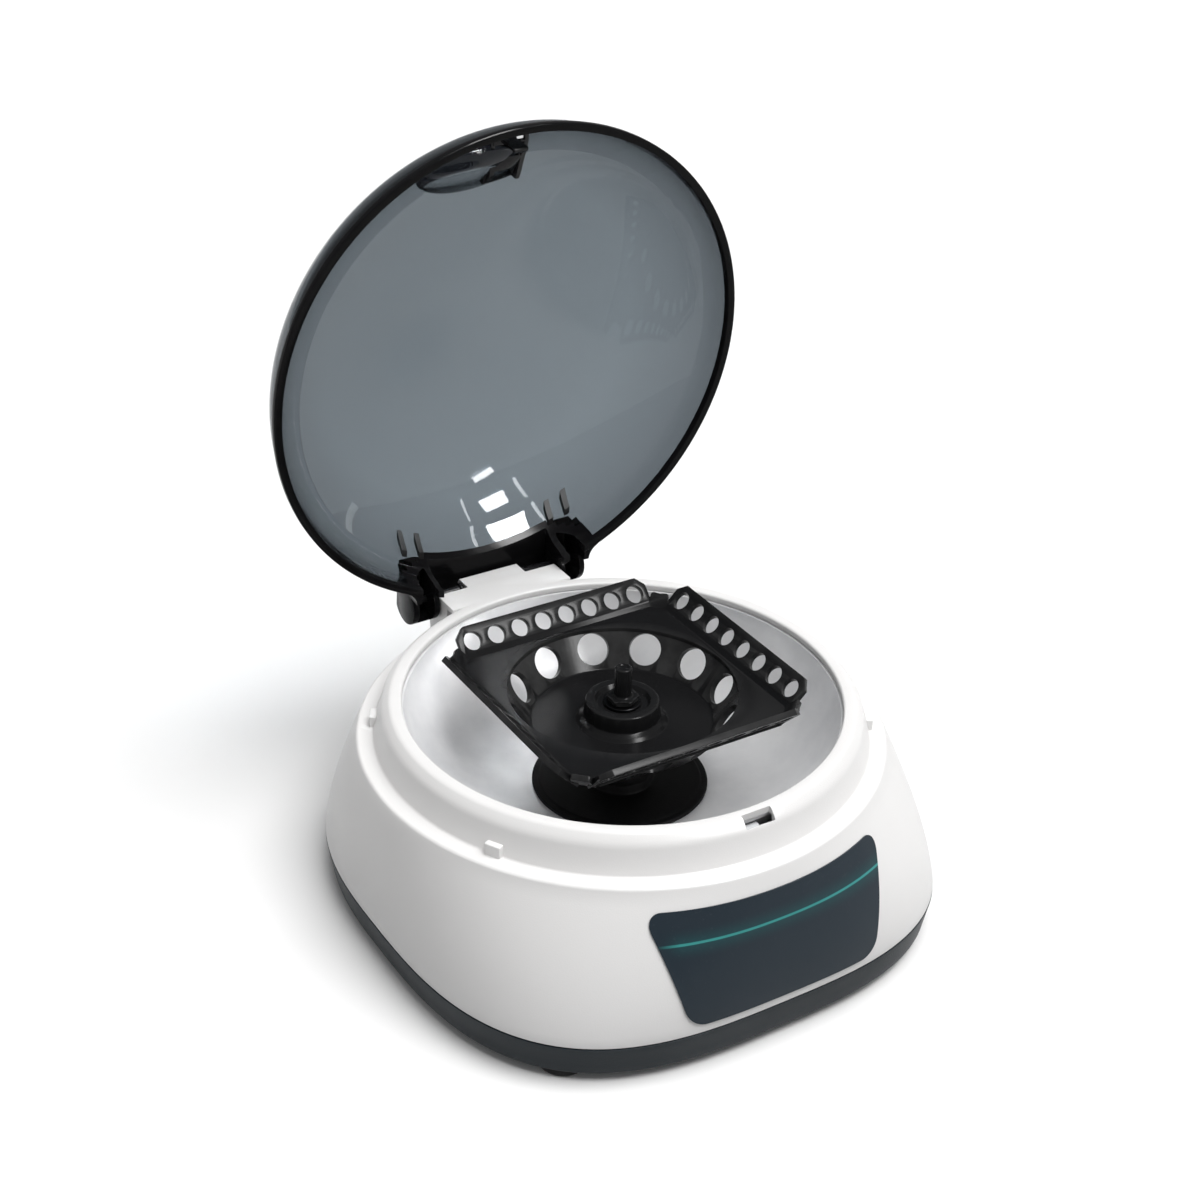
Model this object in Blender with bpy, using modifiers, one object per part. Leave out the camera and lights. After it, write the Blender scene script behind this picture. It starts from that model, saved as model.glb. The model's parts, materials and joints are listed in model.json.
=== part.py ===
"""Mini centrifuge with a strip rotor, a round mouth and a clear dome lid that stands open.

Metres, +Z up, front towards -Y. The bench is z = 0 and the origin lies under the middle of the
whole object, so the rotor's axis stands at y = rotor_axis_y.
"""

from math import asin, cos, hypot, pi, radians, sin, sqrt

import bmesh
import bpy
from mathutils import Matrix, Vector

# Driving dimensions of the whole instrument
rotor_axis_y = -0.0055
seat_gap = 0.0003
running_gap = 0.0006
overrun = 0.002
weld_distance = 0.00001
round_steps = 16
small_steps = 12
body_half_width = 0.092
body_nose = 0.0046
front_roundness = 3.0
back_roundness = 2.6
foot_height = 0.003
tray_height = 0.0112
ledge_height = 0.0585
collar_height = 0.0124
lid_open_angle = radians(84.36)

# Upper shell
shell_wall = 0.0023
side_lean = 0.0055
shoulder_drop = 0.0019
ledge_edge = 0.0008
ledge_width = 0.0053
collar_lean = 0.0027
collar_shoulder_drop = 0.003
collar_curve = 0.0027
mouth_width = 0.004
side_sections = 5
inner_sections = 4
shell_steps = 44

# Locating tabs round the collar
tab_width = 0.0055
tab_clearance = 0.0006
tab_height = 0.004
tab_angles = [radians(angle) for angle in (30, 150, 210, 330)]

# Hinge
hinge_setback = 0.00224
hinge_drop = 0.00246
block_half_width = 0.0235
block_depth = 0.01544
block_step = 0.0043
block_skirt = 0.0155
barrel_radius = 0.0035
knuckle_half_width = 0.0115
notch_depth = 0.0069
notch_front_reach = 0.00414
pin_radius = 0.0015
pin_head_radius = 0.0022
pin_head_length = 0.0012
pin_root = 0.0033
pin_fit = 0.0002

# Lid
rim_width = 0.0015
rim_step = 0.0028
rim_height = 0.0025
skirt_height = 0.0045
dome_rise = 0.0335
lid_wall = 0.002
dome_steps = 36
cap_rows = 6
ear_clearance = 0.0005
ear_width = 0.0103
ear_radius = 0.0075
ear_roof_share = 0.848
ear_cheek = 0.0022
ear_front_reach = 0.01444
cover_reach = 0.00256
fillet_radius = 0.006
fillet_height = 0.0082
rib_height = 0.002
rib_width = 0.0014
rib_rise = 0.008
recess_across = -0.0095
recess_along = 0.0635
recess_half_width = 0.0195
recess_half_length = 0.0152
recess_depth = 0.0048

# Latch on the lid
bracket_half_width = 0.0067
bracket_plate = 0.0015
bracket_length = 0.0175
hook_plate_reach = 0.0006
hook_plate_depth = 0.0030
hook_plate_height = 0.0032
finger_left = -0.0034
finger_width = 0.0048
finger_depth = 0.0012
finger_length = 0.0082
hook_nose = 0.0008
hook_nose_height = 0.0012
window_half_width = 0.0042
window_length = 0.0036
magnet_left = 0.0022
magnet_width = 0.0026
magnet_thickness = 0.0013
magnet_height = 0.0016

# Latch in the body
slot_half_width = 0.0052
slot_reach = 0.0024
slot_depth = 0.0034
slot_drop = 0.0097
catch_pivot_reach = 0.0010
catch_pivot_drop = 0.0045
catch_pin_radius = 0.0010
catch_barrel_radius = 0.0022
catch_width = 0.0066
catch_side_gap = 0.0002
catch_arm_depth = 0.0012
catch_nose = 0.0013
catch_nose_gap = 0.0007
catch_nose_height = 0.0014
housing_half_width = 0.0071
housing_cheek = 0.0014
housing_front_reach = 0.0016
housing_back_reach = 0.0024
housing_drop = 0.0062
housing_floor = 0.0015
housing_neck_depth = 0.0030
spring_wire_radius = 0.00022
spring_coil_radius = 0.0018
spring_turns = 3
spring_leg = 0.0026
sensor_width = 0.0030
sensor_depth = 0.0016
sensor_height = 0.0060

# Chamber bowl
bowl_sheet = 0.0012
bowl_rim_clearance = 0.0018
bowl_wall_clearance = 0.0006
bowl_depth = 0.0318
bowl_floor_width = 0.0010
bowl_bore = 0.008
bowl_steps = 32
bowl_rows = 5
bowl_wall_power = 0.8
bowl_depth_power = 1.25
disc_radius = 0.029
disc_thickness = 0.0015
disc_bore_gap = 0.0006
disc_hub_radius = 0.0105
disc_hub_height = 0.0030

# Drive
plate_thickness = 0.0015
plate_radius = 0.024
lobe_reach = 0.0055
lobe_radius = 0.0062
can_radius = 0.021
can_length = 0.0217
can_edge = 0.002
shaft_radius = 0.002
bearing_radius = 0.0065
bearing_height = 0.0040
drive_hub_radius = 0.006
drive_hub_length = 0.0132
damper_radius = 0.0052
damper_waist = 0.0038
post_radius = 0.0046
stud_radius = 0.0018
board_half_width = 0.028
board_setback = 0.0246
board_depth = 0.026
board_thickness = 0.0016
board_lift = 0.016
board_post_radius = 0.0026

# Rotor
rotor_lift = 0.0019
rotor_wall = 0.002
deck_half = 0.041
deck_corner_cut = 0.0075
deck_margin = 0.0031
deck_overlap = 0.0006
well_lean = 0.0083
well_depth = 0.0118
hub_foot_radius = 0.014
hub_radius = 0.012
hub_height = 0.0075
hub_dish_radius = 0.0092
hub_dish_depth = 0.0016
rotor_steps = 32
flange_fold_inset = 0.002
flange_length = 0.0111
flange_corner_gap = 0.0044
flange_chamfer = 0.0032
flange_chamfer_width = 0.0031
strip_pitch = 0.009
strip_holes = 8
strip_hole_radius = 0.0032
strip_hole_reach = 0.00566
strip_hole_steps = 12
corner_half_width = 0.0030
corner_length = 0.0057
tube_holes = 12
tube_hole_radius = 0.00545
tube_hole_steps = 12
nut_radius = 0.0028
nut_flange_radius = 0.0052
nut_flange_height = 0.0016
nut_height = 0.012
nut_edge = 0.0006
washer_radius = 0.0062
washer_thickness = 0.0008

# Base tray and feet
tray_draft = 0.0017
tray_edge = 0.0012
tray_wall = 0.0026
tray_floor = 0.0025
lip_height = 0.0030
lip_clearance = 0.0009
lip_wall = 0.0016
foot_radius = 0.008
foot_edge = 0.0008
foot_plug_radius = 0.003
foot_side_inset = 0.029
foot_end_inset = 0.0256
case_post_side_inset = 0.030
case_post_spacing = 0.094
case_post_radius = 0.0042
case_post_height = 0.0245
case_screw_radius = 0.0016
case_screw_head_radius = 0.0030
case_screw_head = 0.0020
shell_boss_height = 0.014

# Front panel, a thin label laid on the front wall
panel_half_top = 0.0425
panel_half_bottom = 0.0340
panel_top_inset = 0.0060
panel_height = 0.0345
panel_corner = 0.0055
panel_thickness = 0.0006
panel_seat = 0.0005
panel_columns = 12
panel_rows = 6

# Switch and inlet in the back wall
back_flat_lift = 0.0158
back_flat_half_height = 0.0098
back_flat_half_width = 0.0340
back_flat_depth = 0.0052
fitting_spacing = 0.037
switch_half_width = 0.0105
switch_half_height = 0.0075
bezel_flange = 0.0014
bezel_wall = 0.0010
bezel_depth = 0.0110
rocker_side_gap = 0.0023
rocker_tilt = radians(8)
inlet_radius = 0.0055
inlet_socket_radius = 0.0032
inlet_flange_radius = 0.0068
inlet_flange = 0.0012
inlet_depth = 0.0120
inlet_pin_radius = 0.0009

# Heights and radii of the case, each from its neighbour
body_front = body_half_width + body_nose
body_back = body_half_width
tray_top = foot_height + tray_height
shell_bottom = tray_top + seat_gap
shoulder_height = ledge_height - shoulder_drop
collar_top = ledge_height + collar_height
lip_underside = collar_top - shell_wall
shoulder_radius = body_half_width - side_lean
ledge_radius = shoulder_radius - ledge_edge
collar_foot_radius = ledge_radius - ledge_width
collar_shoulder_radius = collar_foot_radius - collar_lean
collar_ring_radius = collar_shoulder_radius - collar_curve
mouth_radius = collar_ring_radius - mouth_width

# Hinge and lid, from the ledge that the lid shuts on
hinge_back = ledge_radius + hinge_setback
hinge_height = collar_top - hinge_drop
block_front = hinge_back - block_depth
block_inner = block_front + block_step
block_bottom = ledge_height - block_skirt
notch_front = hinge_back - notch_front_reach
notch_floor = collar_top - notch_depth
pin_inner_end = knuckle_half_width - pin_root
lid_radius = ledge_radius
rim_inner_radius = lid_radius - rim_step
dome_radius = lid_radius - rim_width
lid_rim = ledge_height + seat_gap
dome_start = lid_rim + skirt_height
tab_outer_radius = dome_radius - lid_wall - tab_clearance
ear_inner = block_half_width + ear_clearance
ear_outer = ear_inner + ear_width
ear_roof = hinge_height + ear_radius * ear_roof_share
ear_front = hinge_back - ear_front_reach
cover_back = hinge_back + cover_reach
cover_underside = ear_roof - lid_wall
fillet_top = lid_rim + fillet_height
pin_outer_end = ear_outer - running_gap - pin_fit

# Latch, from the slot in the collar's flat top
slot_front = collar_ring_radius + slot_reach
slot_back = slot_front - slot_depth
slot_bottom = collar_top - slot_drop
hook_plate_front = slot_front + hook_plate_reach
hook_plate_back = hook_plate_front - hook_plate_depth
hook_plate_bottom = collar_top + seat_gap + pin_fit / 2
hook_plate_top = hook_plate_bottom + hook_plate_height
bracket_inner = hook_plate_front - bracket_length
finger_right = finger_left + finger_width
finger_front = slot_front - seat_gap
finger_back = finger_front - finger_depth
finger_bottom = collar_top - finger_length
catch_pivot_y = slot_back + catch_pivot_reach
catch_pivot_z = ledge_height - catch_pivot_drop
catch_left = catch_side_gap - slot_half_width
catch_right = catch_left + catch_width
catch_arm_front = slot_back + seat_gap
catch_arm_back = catch_arm_front - catch_arm_depth
catch_nose_reach = catch_arm_front + catch_nose
catch_nose_bottom = finger_bottom + hook_nose_height + catch_nose_gap
catch_nose_top = catch_nose_bottom + catch_nose_height
housing_front = slot_front + housing_front_reach
housing_back = slot_back - housing_back_reach
housing_bottom = catch_pivot_z - housing_drop
housing_top = catch_nose_bottom - running_gap
housing_neck_back = housing_back + catch_arm_depth
housing_neck_front = housing_neck_back + housing_neck_depth

# Bowl, drive and rotor, stacked on the rotor's axis
bowl_rim_top = lip_underside - seat_gap
bowl_rim_radius = collar_shoulder_radius - shell_wall - bowl_rim_clearance
bowl_wall_radius = mouth_radius - bowl_wall_clearance
bowl_floor_top = bowl_rim_top - bowl_depth
bowl_floor_radius = disc_radius + bowl_floor_width
bowl_underside = bowl_floor_top - bowl_sheet
disc_bore = drive_hub_radius + disc_bore_gap
lobe_centre = plate_radius + lobe_reach
lobe_hole = stud_radius + seat_gap + pin_fit / 2
lobe_angles = [radians(angle) for angle in (90, 210, 330)]
motor_plate_top = bowl_underside - seat_gap
motor_plate_bottom = motor_plate_top - plate_thickness
can_bottom = motor_plate_bottom - seat_gap - can_length
deck_top = collar_top + rotor_lift
well_floor = deck_top - well_depth
hub_underside = well_floor - rotor_wall
hub_top = well_floor + hub_height
shaft_top = hub_top + nut_flange_height * 2
nut_top = hub_top + nut_height
drive_hub_bottom = hub_underside - seat_gap - drive_hub_length
well_top_radius = deck_half - deck_margin
well_floor_radius = well_top_radius - well_lean
deck_hole_radius = well_top_radius - deck_overlap
deck_corner_sum = deck_half * 2 - deck_corner_cut
flange_fold = deck_half - flange_fold_inset
flange_half_fold = deck_half - flange_corner_gap
flange_half_top = flange_half_fold - flange_chamfer_width

# Inside and underside of the base, from the case's outline
tray_inside = foot_height + tray_floor
foot_x = body_half_width - foot_side_inset
foot_front = body_front - foot_end_inset
foot_back = foot_front - foot_plug_radius * 2
case_post_x = body_half_width - case_post_side_inset
case_post_front = case_post_spacing / 2
case_post_back = case_post_spacing / 2
case_post_top = tray_inside + case_post_height
board_front = body_front - board_setback
board_back = board_front - board_depth
board_height = tray_inside + board_lift
panel_top = ledge_height - panel_top_inset
panel_bottom = panel_top - panel_height
back_flat_height = tray_top + back_flat_lift
switch_x = -fitting_spacing / 2
inlet_x = fitting_spacing / 2
rocker_half_width = switch_half_width - rocker_side_gap
rocker_half_height = switch_half_height - rocker_side_gap

parts = bpy.data.collections.new("mini_centrifuge")
cutters = bpy.data.collections.new("cutters")


# Helpers that make, cut and join shapes
def clear_scene():
    for obj in list(bpy.data.objects):
        bpy.data.objects.remove(obj, do_unlink=True)
    bpy.context.scene.collection.children.link(parts)
    bpy.context.scene.collection.children.link(cutters)
    cutters.hide_render = True


def make_frame(name, place, parent=None, turn=0.0):
    frame = bpy.data.objects.new(name, None)
    frame.location = place
    frame.rotation_euler.x = turn
    frame.parent = parent
    parts.objects.link(frame)
    return frame


def make_object(name, mesh, frame):
    obj = bpy.data.objects.new(name, mesh)
    obj.parent = frame
    parts.objects.link(obj)
    return obj


def make_material(name, colour, roughness, metallic=0.0, alpha=1.0):
    material = bpy.data.materials.new(name)
    material.use_nodes = True
    shader = material.node_tree.nodes["Principled BSDF"]
    shader.inputs["Base Color"].default_value = (*colour, 1.0)
    shader.inputs["Roughness"].default_value = roughness
    shader.inputs["Metallic"].default_value = metallic
    shader.inputs["Alpha"].default_value = alpha
    return material


def finish(obj, material, sharp=30):
    obj.data.materials.clear()
    obj.data.materials.append(material)
    obj.data.shade_smooth()
    obj.data.set_sharp_from_angle(angle=radians(sharp))
    return obj


def from_bmesh(name, work, frame):
    mesh = bpy.data.meshes.new(name)
    work.to_mesh(mesh)
    work.free()
    return make_object(name, mesh, frame)


def box(name, low, high, frame, edge=0.0):
    work = bmesh.new()
    bmesh.ops.create_cube(work, size=1)
    size = [b - a for a, b in zip(low, high)]
    middle = [(a + b) / 2 for a, b in zip(low, high)]
    bmesh.ops.scale(work, vec=size, verts=work.verts)
    bmesh.ops.translate(work, vec=middle, verts=work.verts)
    obj = from_bmesh(name, work, frame)
    if edge:
        soften(obj, edge)
    return obj


def soften(obj, width, segments=1):
    bevel = obj.modifiers.new("soft edges", "BEVEL")
    bevel.width = width
    bevel.segments = segments
    bevel.limit_method = "ANGLE"


def drum(name, radius, low, high, frame, place=(0, 0), steps=round_steps, turn=None):
    """A round bar from low to high along Z, then turned about the origin of its frame."""
    work = bmesh.new()
    bmesh.ops.create_cone(
        work, cap_ends=True, segments=steps, radius1=radius, radius2=radius, depth=high - low
    )
    bmesh.ops.translate(work, vec=(*place, (low + high) / 2), verts=work.verts)
    if turn:
        bmesh.ops.transform(work, matrix=turn, verts=work.verts)
    return from_bmesh(name, work, frame)


def turned(name, profile, frame, steps, closed=False, place=(0, 0)):
    """Profile points are (radius, height), running down the outer side."""
    mesh = bpy.data.meshes.new(name)
    points = [(radius, 0, height) for radius, height in profile]
    edges = [(i, i + 1) for i in range(len(points) - 1)]
    if closed:
        edges.append((len(points) - 1, 0))
    mesh.from_pydata(points, edges, [])
    obj = make_object(name, mesh, frame)
    obj.location = (*place, 0)
    screw = obj.modifiers.new("turn", "SCREW")
    screw.steps = steps
    screw.render_steps = steps
    screw.use_merge_vertices = True
    screw.merge_threshold = weld_distance
    screw.use_smooth_shade = True
    return obj


def arc(centre, radius, start, end, steps):
    angles = [start + (end - start) * i / steps for i in range(steps + 1)]
    return [(centre[0] + radius * cos(a), centre[1] + radius * sin(a)) for a in angles]


def circle(centre, radius, steps):
    return arc(centre, radius, 0, 2 * pi, steps)[:-1]


def plate(name, outline, thickness, frame, holes=(), matrix=None):
    """A flat outline with holes, its thickness split to both sides of local z = 0."""
    data = bpy.data.curves.new(name, "CURVE")
    data.dimensions = "2D"
    data.fill_mode = "BOTH"
    data.extrude = thickness / 2
    for points in [outline, *holes]:
        spline = data.splines.new("POLY")
        spline.points.add(len(points) - 1)
        for point, (x, y) in zip(spline.points, points):
            point.co = (x, y, 0, 1)
        spline.use_cyclic_u = True
    curve = bpy.data.objects.new(name + " outline", data)
    parts.objects.link(curve)
    obj = make_object(name, meshed(curve), frame)
    if matrix:
        obj.data.transform(matrix)
    return obj


def meshed(curve):
    """The curve's mesh with its caps welded. The curve is removed."""
    bpy.context.view_layer.update()
    graph = bpy.context.evaluated_depsgraph_get()
    mesh = bpy.data.meshes.new_from_object(curve.evaluated_get(graph))
    mesh.transform(curve.matrix_world)
    work = bmesh.new()
    work.from_mesh(mesh)
    bmesh.ops.remove_doubles(work, verts=work.verts, dist=weld_distance / 10)
    bmesh.ops.recalc_face_normals(work, faces=work.faces)
    work.to_mesh(mesh)
    work.free()
    bpy.data.objects.remove(curve, do_unlink=True)
    return mesh


def side_plate(name, outline, left, right, frame):
    """An outline in (y, z) that runs from x = left to x = right."""
    stand_up = Matrix(((0, 0, 1, (left + right) / 2), (1, 0, 0, 0), (0, 1, 0, 0), (0, 0, 0, 1)))
    return plate(name, outline, right - left, frame, matrix=stand_up)


def loft(name, rings, frame, closed=False):
    """Skins rings of equal count. A closed loft joins the last ring to the first."""
    work = bmesh.new()
    rows = [[work.verts.new(point) for point in ring] for ring in rings]
    pairs = list(zip(rows, rows[1:]))
    if closed:
        pairs.append((rows[-1], rows[0]))
    for low, high in pairs:
        for i in range(len(low)):
            j = (i + 1) % len(low)
            work.faces.new((low[i], low[j], high[j], high[i]))
    if not closed:
        work.faces.new(rows[0][::-1])
        work.faces.new(rows[-1])
    bmesh.ops.recalc_face_normals(work, faces=work.faces)
    return from_bmesh(name, work, frame)


def merged(name, pieces, frame):
    """One mesh that holds the evaluated shapes of pieces that don't touch each other."""
    bpy.context.view_layer.update()
    graph = bpy.context.evaluated_depsgraph_get()
    work = bmesh.new()
    for piece in pieces:
        mesh = bpy.data.meshes.new_from_object(piece.evaluated_get(graph))
        mesh.transform(piece.matrix_local)
        work.from_mesh(mesh)
        bpy.data.meshes.remove(mesh)
        bpy.data.objects.remove(piece, do_unlink=True)
    return from_bmesh(name, work, frame)


def combine(piece, other, operation):
    boolean = piece.modifiers.new(other.name, "BOOLEAN")
    boolean.operation = operation
    boolean.object = other
    parts.objects.unlink(other)
    cutters.objects.link(other)
    other.hide_render = True
    other.display_type = "WIRE"


def cut(piece, *others):
    for other in others:
        combine(piece, other, "DIFFERENCE")


def join(piece, *others):
    for other in others:
        combine(piece, other, "UNION")


def keep(piece, other):
    combine(piece, other, "INTERSECT")


def lay_x(y, z):
    """Lays a bar that was made along Z down along X, through (y, z)."""
    return Matrix.Translation((0, y, z)) @ Matrix.Rotation(pi / 2, 4, "Y")


def lay_y(x, z):
    """Lays a bar that was made along Z down along -Y, through (x, z)."""
    return Matrix.Translation((x, 0, z)) @ Matrix.Rotation(pi / 2, 4, "X")


# The body's side: a rounded square below that becomes a circle at the shoulder
def body_ring(height, inset=0.0):
    span = shoulder_height - shell_bottom
    share = min(max((height - shell_bottom) / span, 0), 1)
    bulge_share = 1 - cos(share * pi / 2)
    width = body_half_width + (shoulder_radius - body_half_width) * bulge_share - inset
    front = body_front + (shoulder_radius - body_front) * bulge_share - inset
    back = body_back + (shoulder_radius - body_back) * bulge_share - inset
    front_power = front_roundness + (2 - front_roundness) * share
    back_power = back_roundness + (2 - back_roundness) * share
    return oval(width, front, back, front_power, back_power, height)


def oval(width, front, back, front_power, back_power, height):
    points = []
    for i in range(shell_steps):
        angle = 2 * pi * i / shell_steps
        across, along = cos(angle), sin(angle)
        power = front_power if along < 0 else back_power
        depth = front if along < 0 else back
        x = width * abs(across) ** (2 / power) * (1 if across > 0 else -1)
        y = depth * abs(along) ** (2 / power) * (1 if along > 0 else -1)
        points.append((x, y, height))
    return points


def round_ring(radius, height):
    return [(x, y, height) for x, y in circle((0, 0), radius, shell_steps)]


def side_wall_y(x, height, outset=0.0):
    """The y of the front wall's outer face at x and height."""
    span = shoulder_height - shell_bottom
    share = (height - shell_bottom) / span
    bulge_share = 1 - cos(share * pi / 2)
    width = body_half_width + (shoulder_radius - body_half_width) * bulge_share
    front = body_front + (shoulder_radius - body_front) * bulge_share
    power = front_roundness + (2 - front_roundness) * share
    return -front * (1 - abs(x / width) ** power) ** (1 / power) - outset


# Upper shell
def shell_rings():
    outer = []
    for i in range(side_sections + 1):
        height = shell_bottom + (shoulder_height - shell_bottom) * i / side_sections
        outer.append(body_ring(height))
    inner = []
    top = shoulder_height - shell_wall / 2
    for i in range(inner_sections + 1):
        height = top + (shell_bottom - top) * i / inner_sections
        inner.append(body_ring(height, inset=shell_wall))
    shoulder_mid = collar_top - collar_shoulder_drop * 0.3
    outer += [
        round_ring(shoulder_radius - ledge_edge * 0.3, ledge_height - ledge_edge),
        round_ring(ledge_radius, ledge_height),
        round_ring(collar_foot_radius, ledge_height),
        round_ring(collar_shoulder_radius, collar_top - collar_shoulder_drop),
        round_ring((collar_shoulder_radius * 2 + collar_ring_radius) / 3, shoulder_mid),
        round_ring(collar_ring_radius, collar_top),
        round_ring(mouth_radius, collar_top),
        round_ring(mouth_radius, lip_underside),
        round_ring(collar_shoulder_radius - shell_wall, lip_underside),
        round_ring(collar_foot_radius - shell_wall, ledge_height - shell_wall),
    ]
    return outer + inner


def hinge_block():
    axis = (hinge_back, hinge_height)
    outline = [
        (block_front, collar_top),
        (block_front, lip_underside + seat_gap),
        (block_inner, lip_underside + seat_gap),
        (block_inner + shell_wall / 2, ledge_height),
        (body_back - shell_wall * 5, block_bottom + shell_wall),
        (body_back - shell_wall * 3, block_bottom),
        (body_back - shell_wall * 1.5, block_bottom),
        *arc(axis, barrel_radius, 0, asin((collar_top - hinge_height) / barrel_radius), 3),
    ]
    return side_plate("hinge block", outline, -block_half_width, block_half_width, base)


def hinge_notches():
    notches = []
    for side in (-1, 1):
        ends = sorted((side * knuckle_half_width, side * (block_half_width + overrun)))
        low = (ends[0], notch_front, notch_floor)
        high = (ends[1], body_back + overrun, collar_top + overrun)
        notches.append(box("hinge notch", low, high, base))
    return merged("hinge notches", notches, base)


def back_flat():
    """The shallow flat bay in the back wall that the switch and the inlet sit in."""
    face = body_back - back_flat_depth
    low = (-back_flat_half_width, face, back_flat_height - back_flat_half_height)
    high = (back_flat_half_width, body_back * 1.2, back_flat_height + back_flat_half_height)
    bay = box("back bay", low, high, base)
    soften(bay, back_flat_depth / 4)
    return bay


def make_shell():
    shell = loft("upper_shell", shell_rings(), base, closed=True)
    pad = box(
        "back pad",
        (-back_flat_half_width - shell_wall, body_back - back_flat_depth - 2 * shell_wall,
         back_flat_height - back_flat_half_height - shell_wall),
        (back_flat_half_width + shell_wall, body_back - back_flat_depth + shell_wall / 2,
         back_flat_height + back_flat_half_height + shell_wall),
        base,
    )
    body = loft("body outline", [body_ring(h, inset=shell_wall / 3) for h in side_heights()], base)
    keep(pad, body)
    tabs = merged("collar tabs", [collar_tab(angle) for angle in tab_angles], base)
    join(shell, pad, hinge_block(), tabs)
    cut(shell, hinge_notches(), hinge_bore(), latch_slot(), back_flat(), *back_holes())
    join(shell, merged("shell bosses", [shell_boss(x, y) for x, y in case_places()], base))
    return finish(shell, white)


def side_heights():
    steps = side_sections
    span = shoulder_height - shell_bottom
    return [shell_bottom + span * i / steps for i in range(steps + 1)]


def collar_tab(angle):
    inner = collar_foot_radius - shell_wall / 2 - tab_height / 4
    low = (inner, -tab_width / 2, ledge_height - shell_wall / 2)
    high = (tab_outer_radius, tab_width / 2, ledge_height + tab_height)
    tab = box("collar tab", low, high, base)
    tab.data.transform(Matrix.Rotation(angle, 4, "Z"))
    return tab


def hinge_bore():
    reach = pin_inner_end - seat_gap
    turn = lay_x(hinge_back, hinge_height)
    radius = pin_radius + pin_fit
    right = drum("bore", radius, reach, block_half_width + overrun, base, steps=small_steps, turn=turn)
    left = drum("bore", radius, -block_half_width - overrun, -reach, base, steps=small_steps, turn=turn)
    return merged("hinge bores", [left, right], base)


def latch_slot():
    low = (-slot_half_width, -slot_front, slot_bottom)
    high = (slot_half_width, -slot_back, collar_top + overrun)
    return box("latch slot", low, high, base)


def back_holes():
    back, face = body_back * 0.7, body_back * 1.2
    low = (switch_x - switch_half_width, back, back_flat_height - switch_half_height)
    high = (switch_x + switch_half_width, face, back_flat_height + switch_half_height)
    switch_hole = box("switch hole", low, high, base)
    turn = lay_y(inlet_x, back_flat_height)
    radius = inlet_radius + seat_gap
    inlet_hole = drum("inlet hole", radius, -face, -back, base, turn=turn)
    return switch_hole, inlet_hole


def case_places():
    return [
        (side * case_post_x, along)
        for side in (-1, 1)
        for along in (-case_post_front, case_post_back)
    ]


def shell_boss(x, y):
    """A boss that hangs from the shell's shoulder and takes a case screw."""
    bottom = case_post_top + seat_gap
    top = ledge_height - shell_wall / 2
    reach = bottom + shell_boss_height
    profile = [
        (0, top),
        (case_post_radius, top),
        (case_post_radius, bottom),
        (case_screw_radius, bottom),
        (case_screw_radius, reach),
        (0, reach + case_screw_radius),
    ]
    return turned("shell boss", profile, base, small_steps, place=(x, y))


# Front panel
def panel_half_width(height):
    """Half the width at a height, with rounded corners."""
    share = (height - panel_bottom) / (panel_top - panel_bottom)
    half = panel_half_bottom + (panel_half_top - panel_half_bottom) * share
    edge = max(min(height - panel_bottom, panel_top - height), 0)
    inset = panel_corner - min(edge, panel_corner)
    return half - panel_corner + sqrt(panel_corner**2 - inset**2)


def panel_heights():
    heights = []
    for i in range(panel_rows + 1):
        share = (1 - cos(pi * i / panel_rows)) / 2
        heights.append(panel_bottom + (panel_top - panel_bottom) * share)
    return heights


def make_panel():
    work = bmesh.new()
    rows = []
    for height in panel_heights():
        half = panel_half_width(height)
        row = []
        for i in range(panel_columns + 1):
            x = half * (2 * i / panel_columns - 1)
            y = side_wall_y(x, height, panel_seat + panel_thickness)
            row.append(work.verts.new((x, y, height)))
        rows.append(row)
    for low, high in zip(rows, rows[1:]):
        for i in range(panel_columns):
            work.faces.new((low[i], low[i + 1], high[i + 1], high[i]))
    panel = from_bmesh("front_panel", work, base)
    solidify = panel.modifiers.new("thickness", "SOLIDIFY")
    solidify.thickness = panel_thickness
    solidify.offset = -1
    return finish(panel, slate)


# Chamber bowl and the black disc on its floor
def bowl_curve():
    """The inner face of the bowl from its rim to its floor."""
    depth = bowl_rim_top - bowl_floor_top
    span = bowl_wall_radius - bowl_floor_radius
    points = []
    for i in range(bowl_rows + 1):
        angle = pi / 2 * i / bowl_rows
        radius = bowl_floor_radius + span * cos(angle) ** bowl_wall_power
        points.append((radius, bowl_rim_top - depth * sin(angle) ** bowl_depth_power))
    return points


def make_bowl():
    inner = bowl_curve()
    outer = []
    for i, (radius, height) in enumerate(inner):
        share = i / bowl_rows
        outer.append((radius + bowl_sheet * (1 - share), height - bowl_sheet * min(1, 1.5 * share)))
    profile = [
        (bowl_rim_radius, bowl_rim_top),
        (bowl_rim_radius, bowl_rim_top - bowl_sheet),
        (outer[0][0], bowl_rim_top - bowl_sheet),
        *outer[1:],
        (bowl_bore, bowl_underside),
        (bowl_bore, bowl_floor_top),
        *inner[::-1],
    ]
    bowl = turned("chamber_bowl", profile, base, bowl_steps, closed=True)
    return finish(bowl, satin)


def make_disc():
    bottom = bowl_floor_top + seat_gap
    top = bottom + disc_thickness
    profile = [
        (disc_bore, top + disc_hub_height),
        (disc_hub_radius, top + disc_hub_height),
        (disc_hub_radius + disc_thickness, top),
        (disc_radius - disc_thickness / 3, top),
        (disc_radius, top - disc_thickness / 3),
        (disc_radius, bottom),
        (disc_bore, bottom),
    ]
    return finish(turned("chamber_seal", profile, base, bowl_steps // 2, closed=True), black_rubber)


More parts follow.
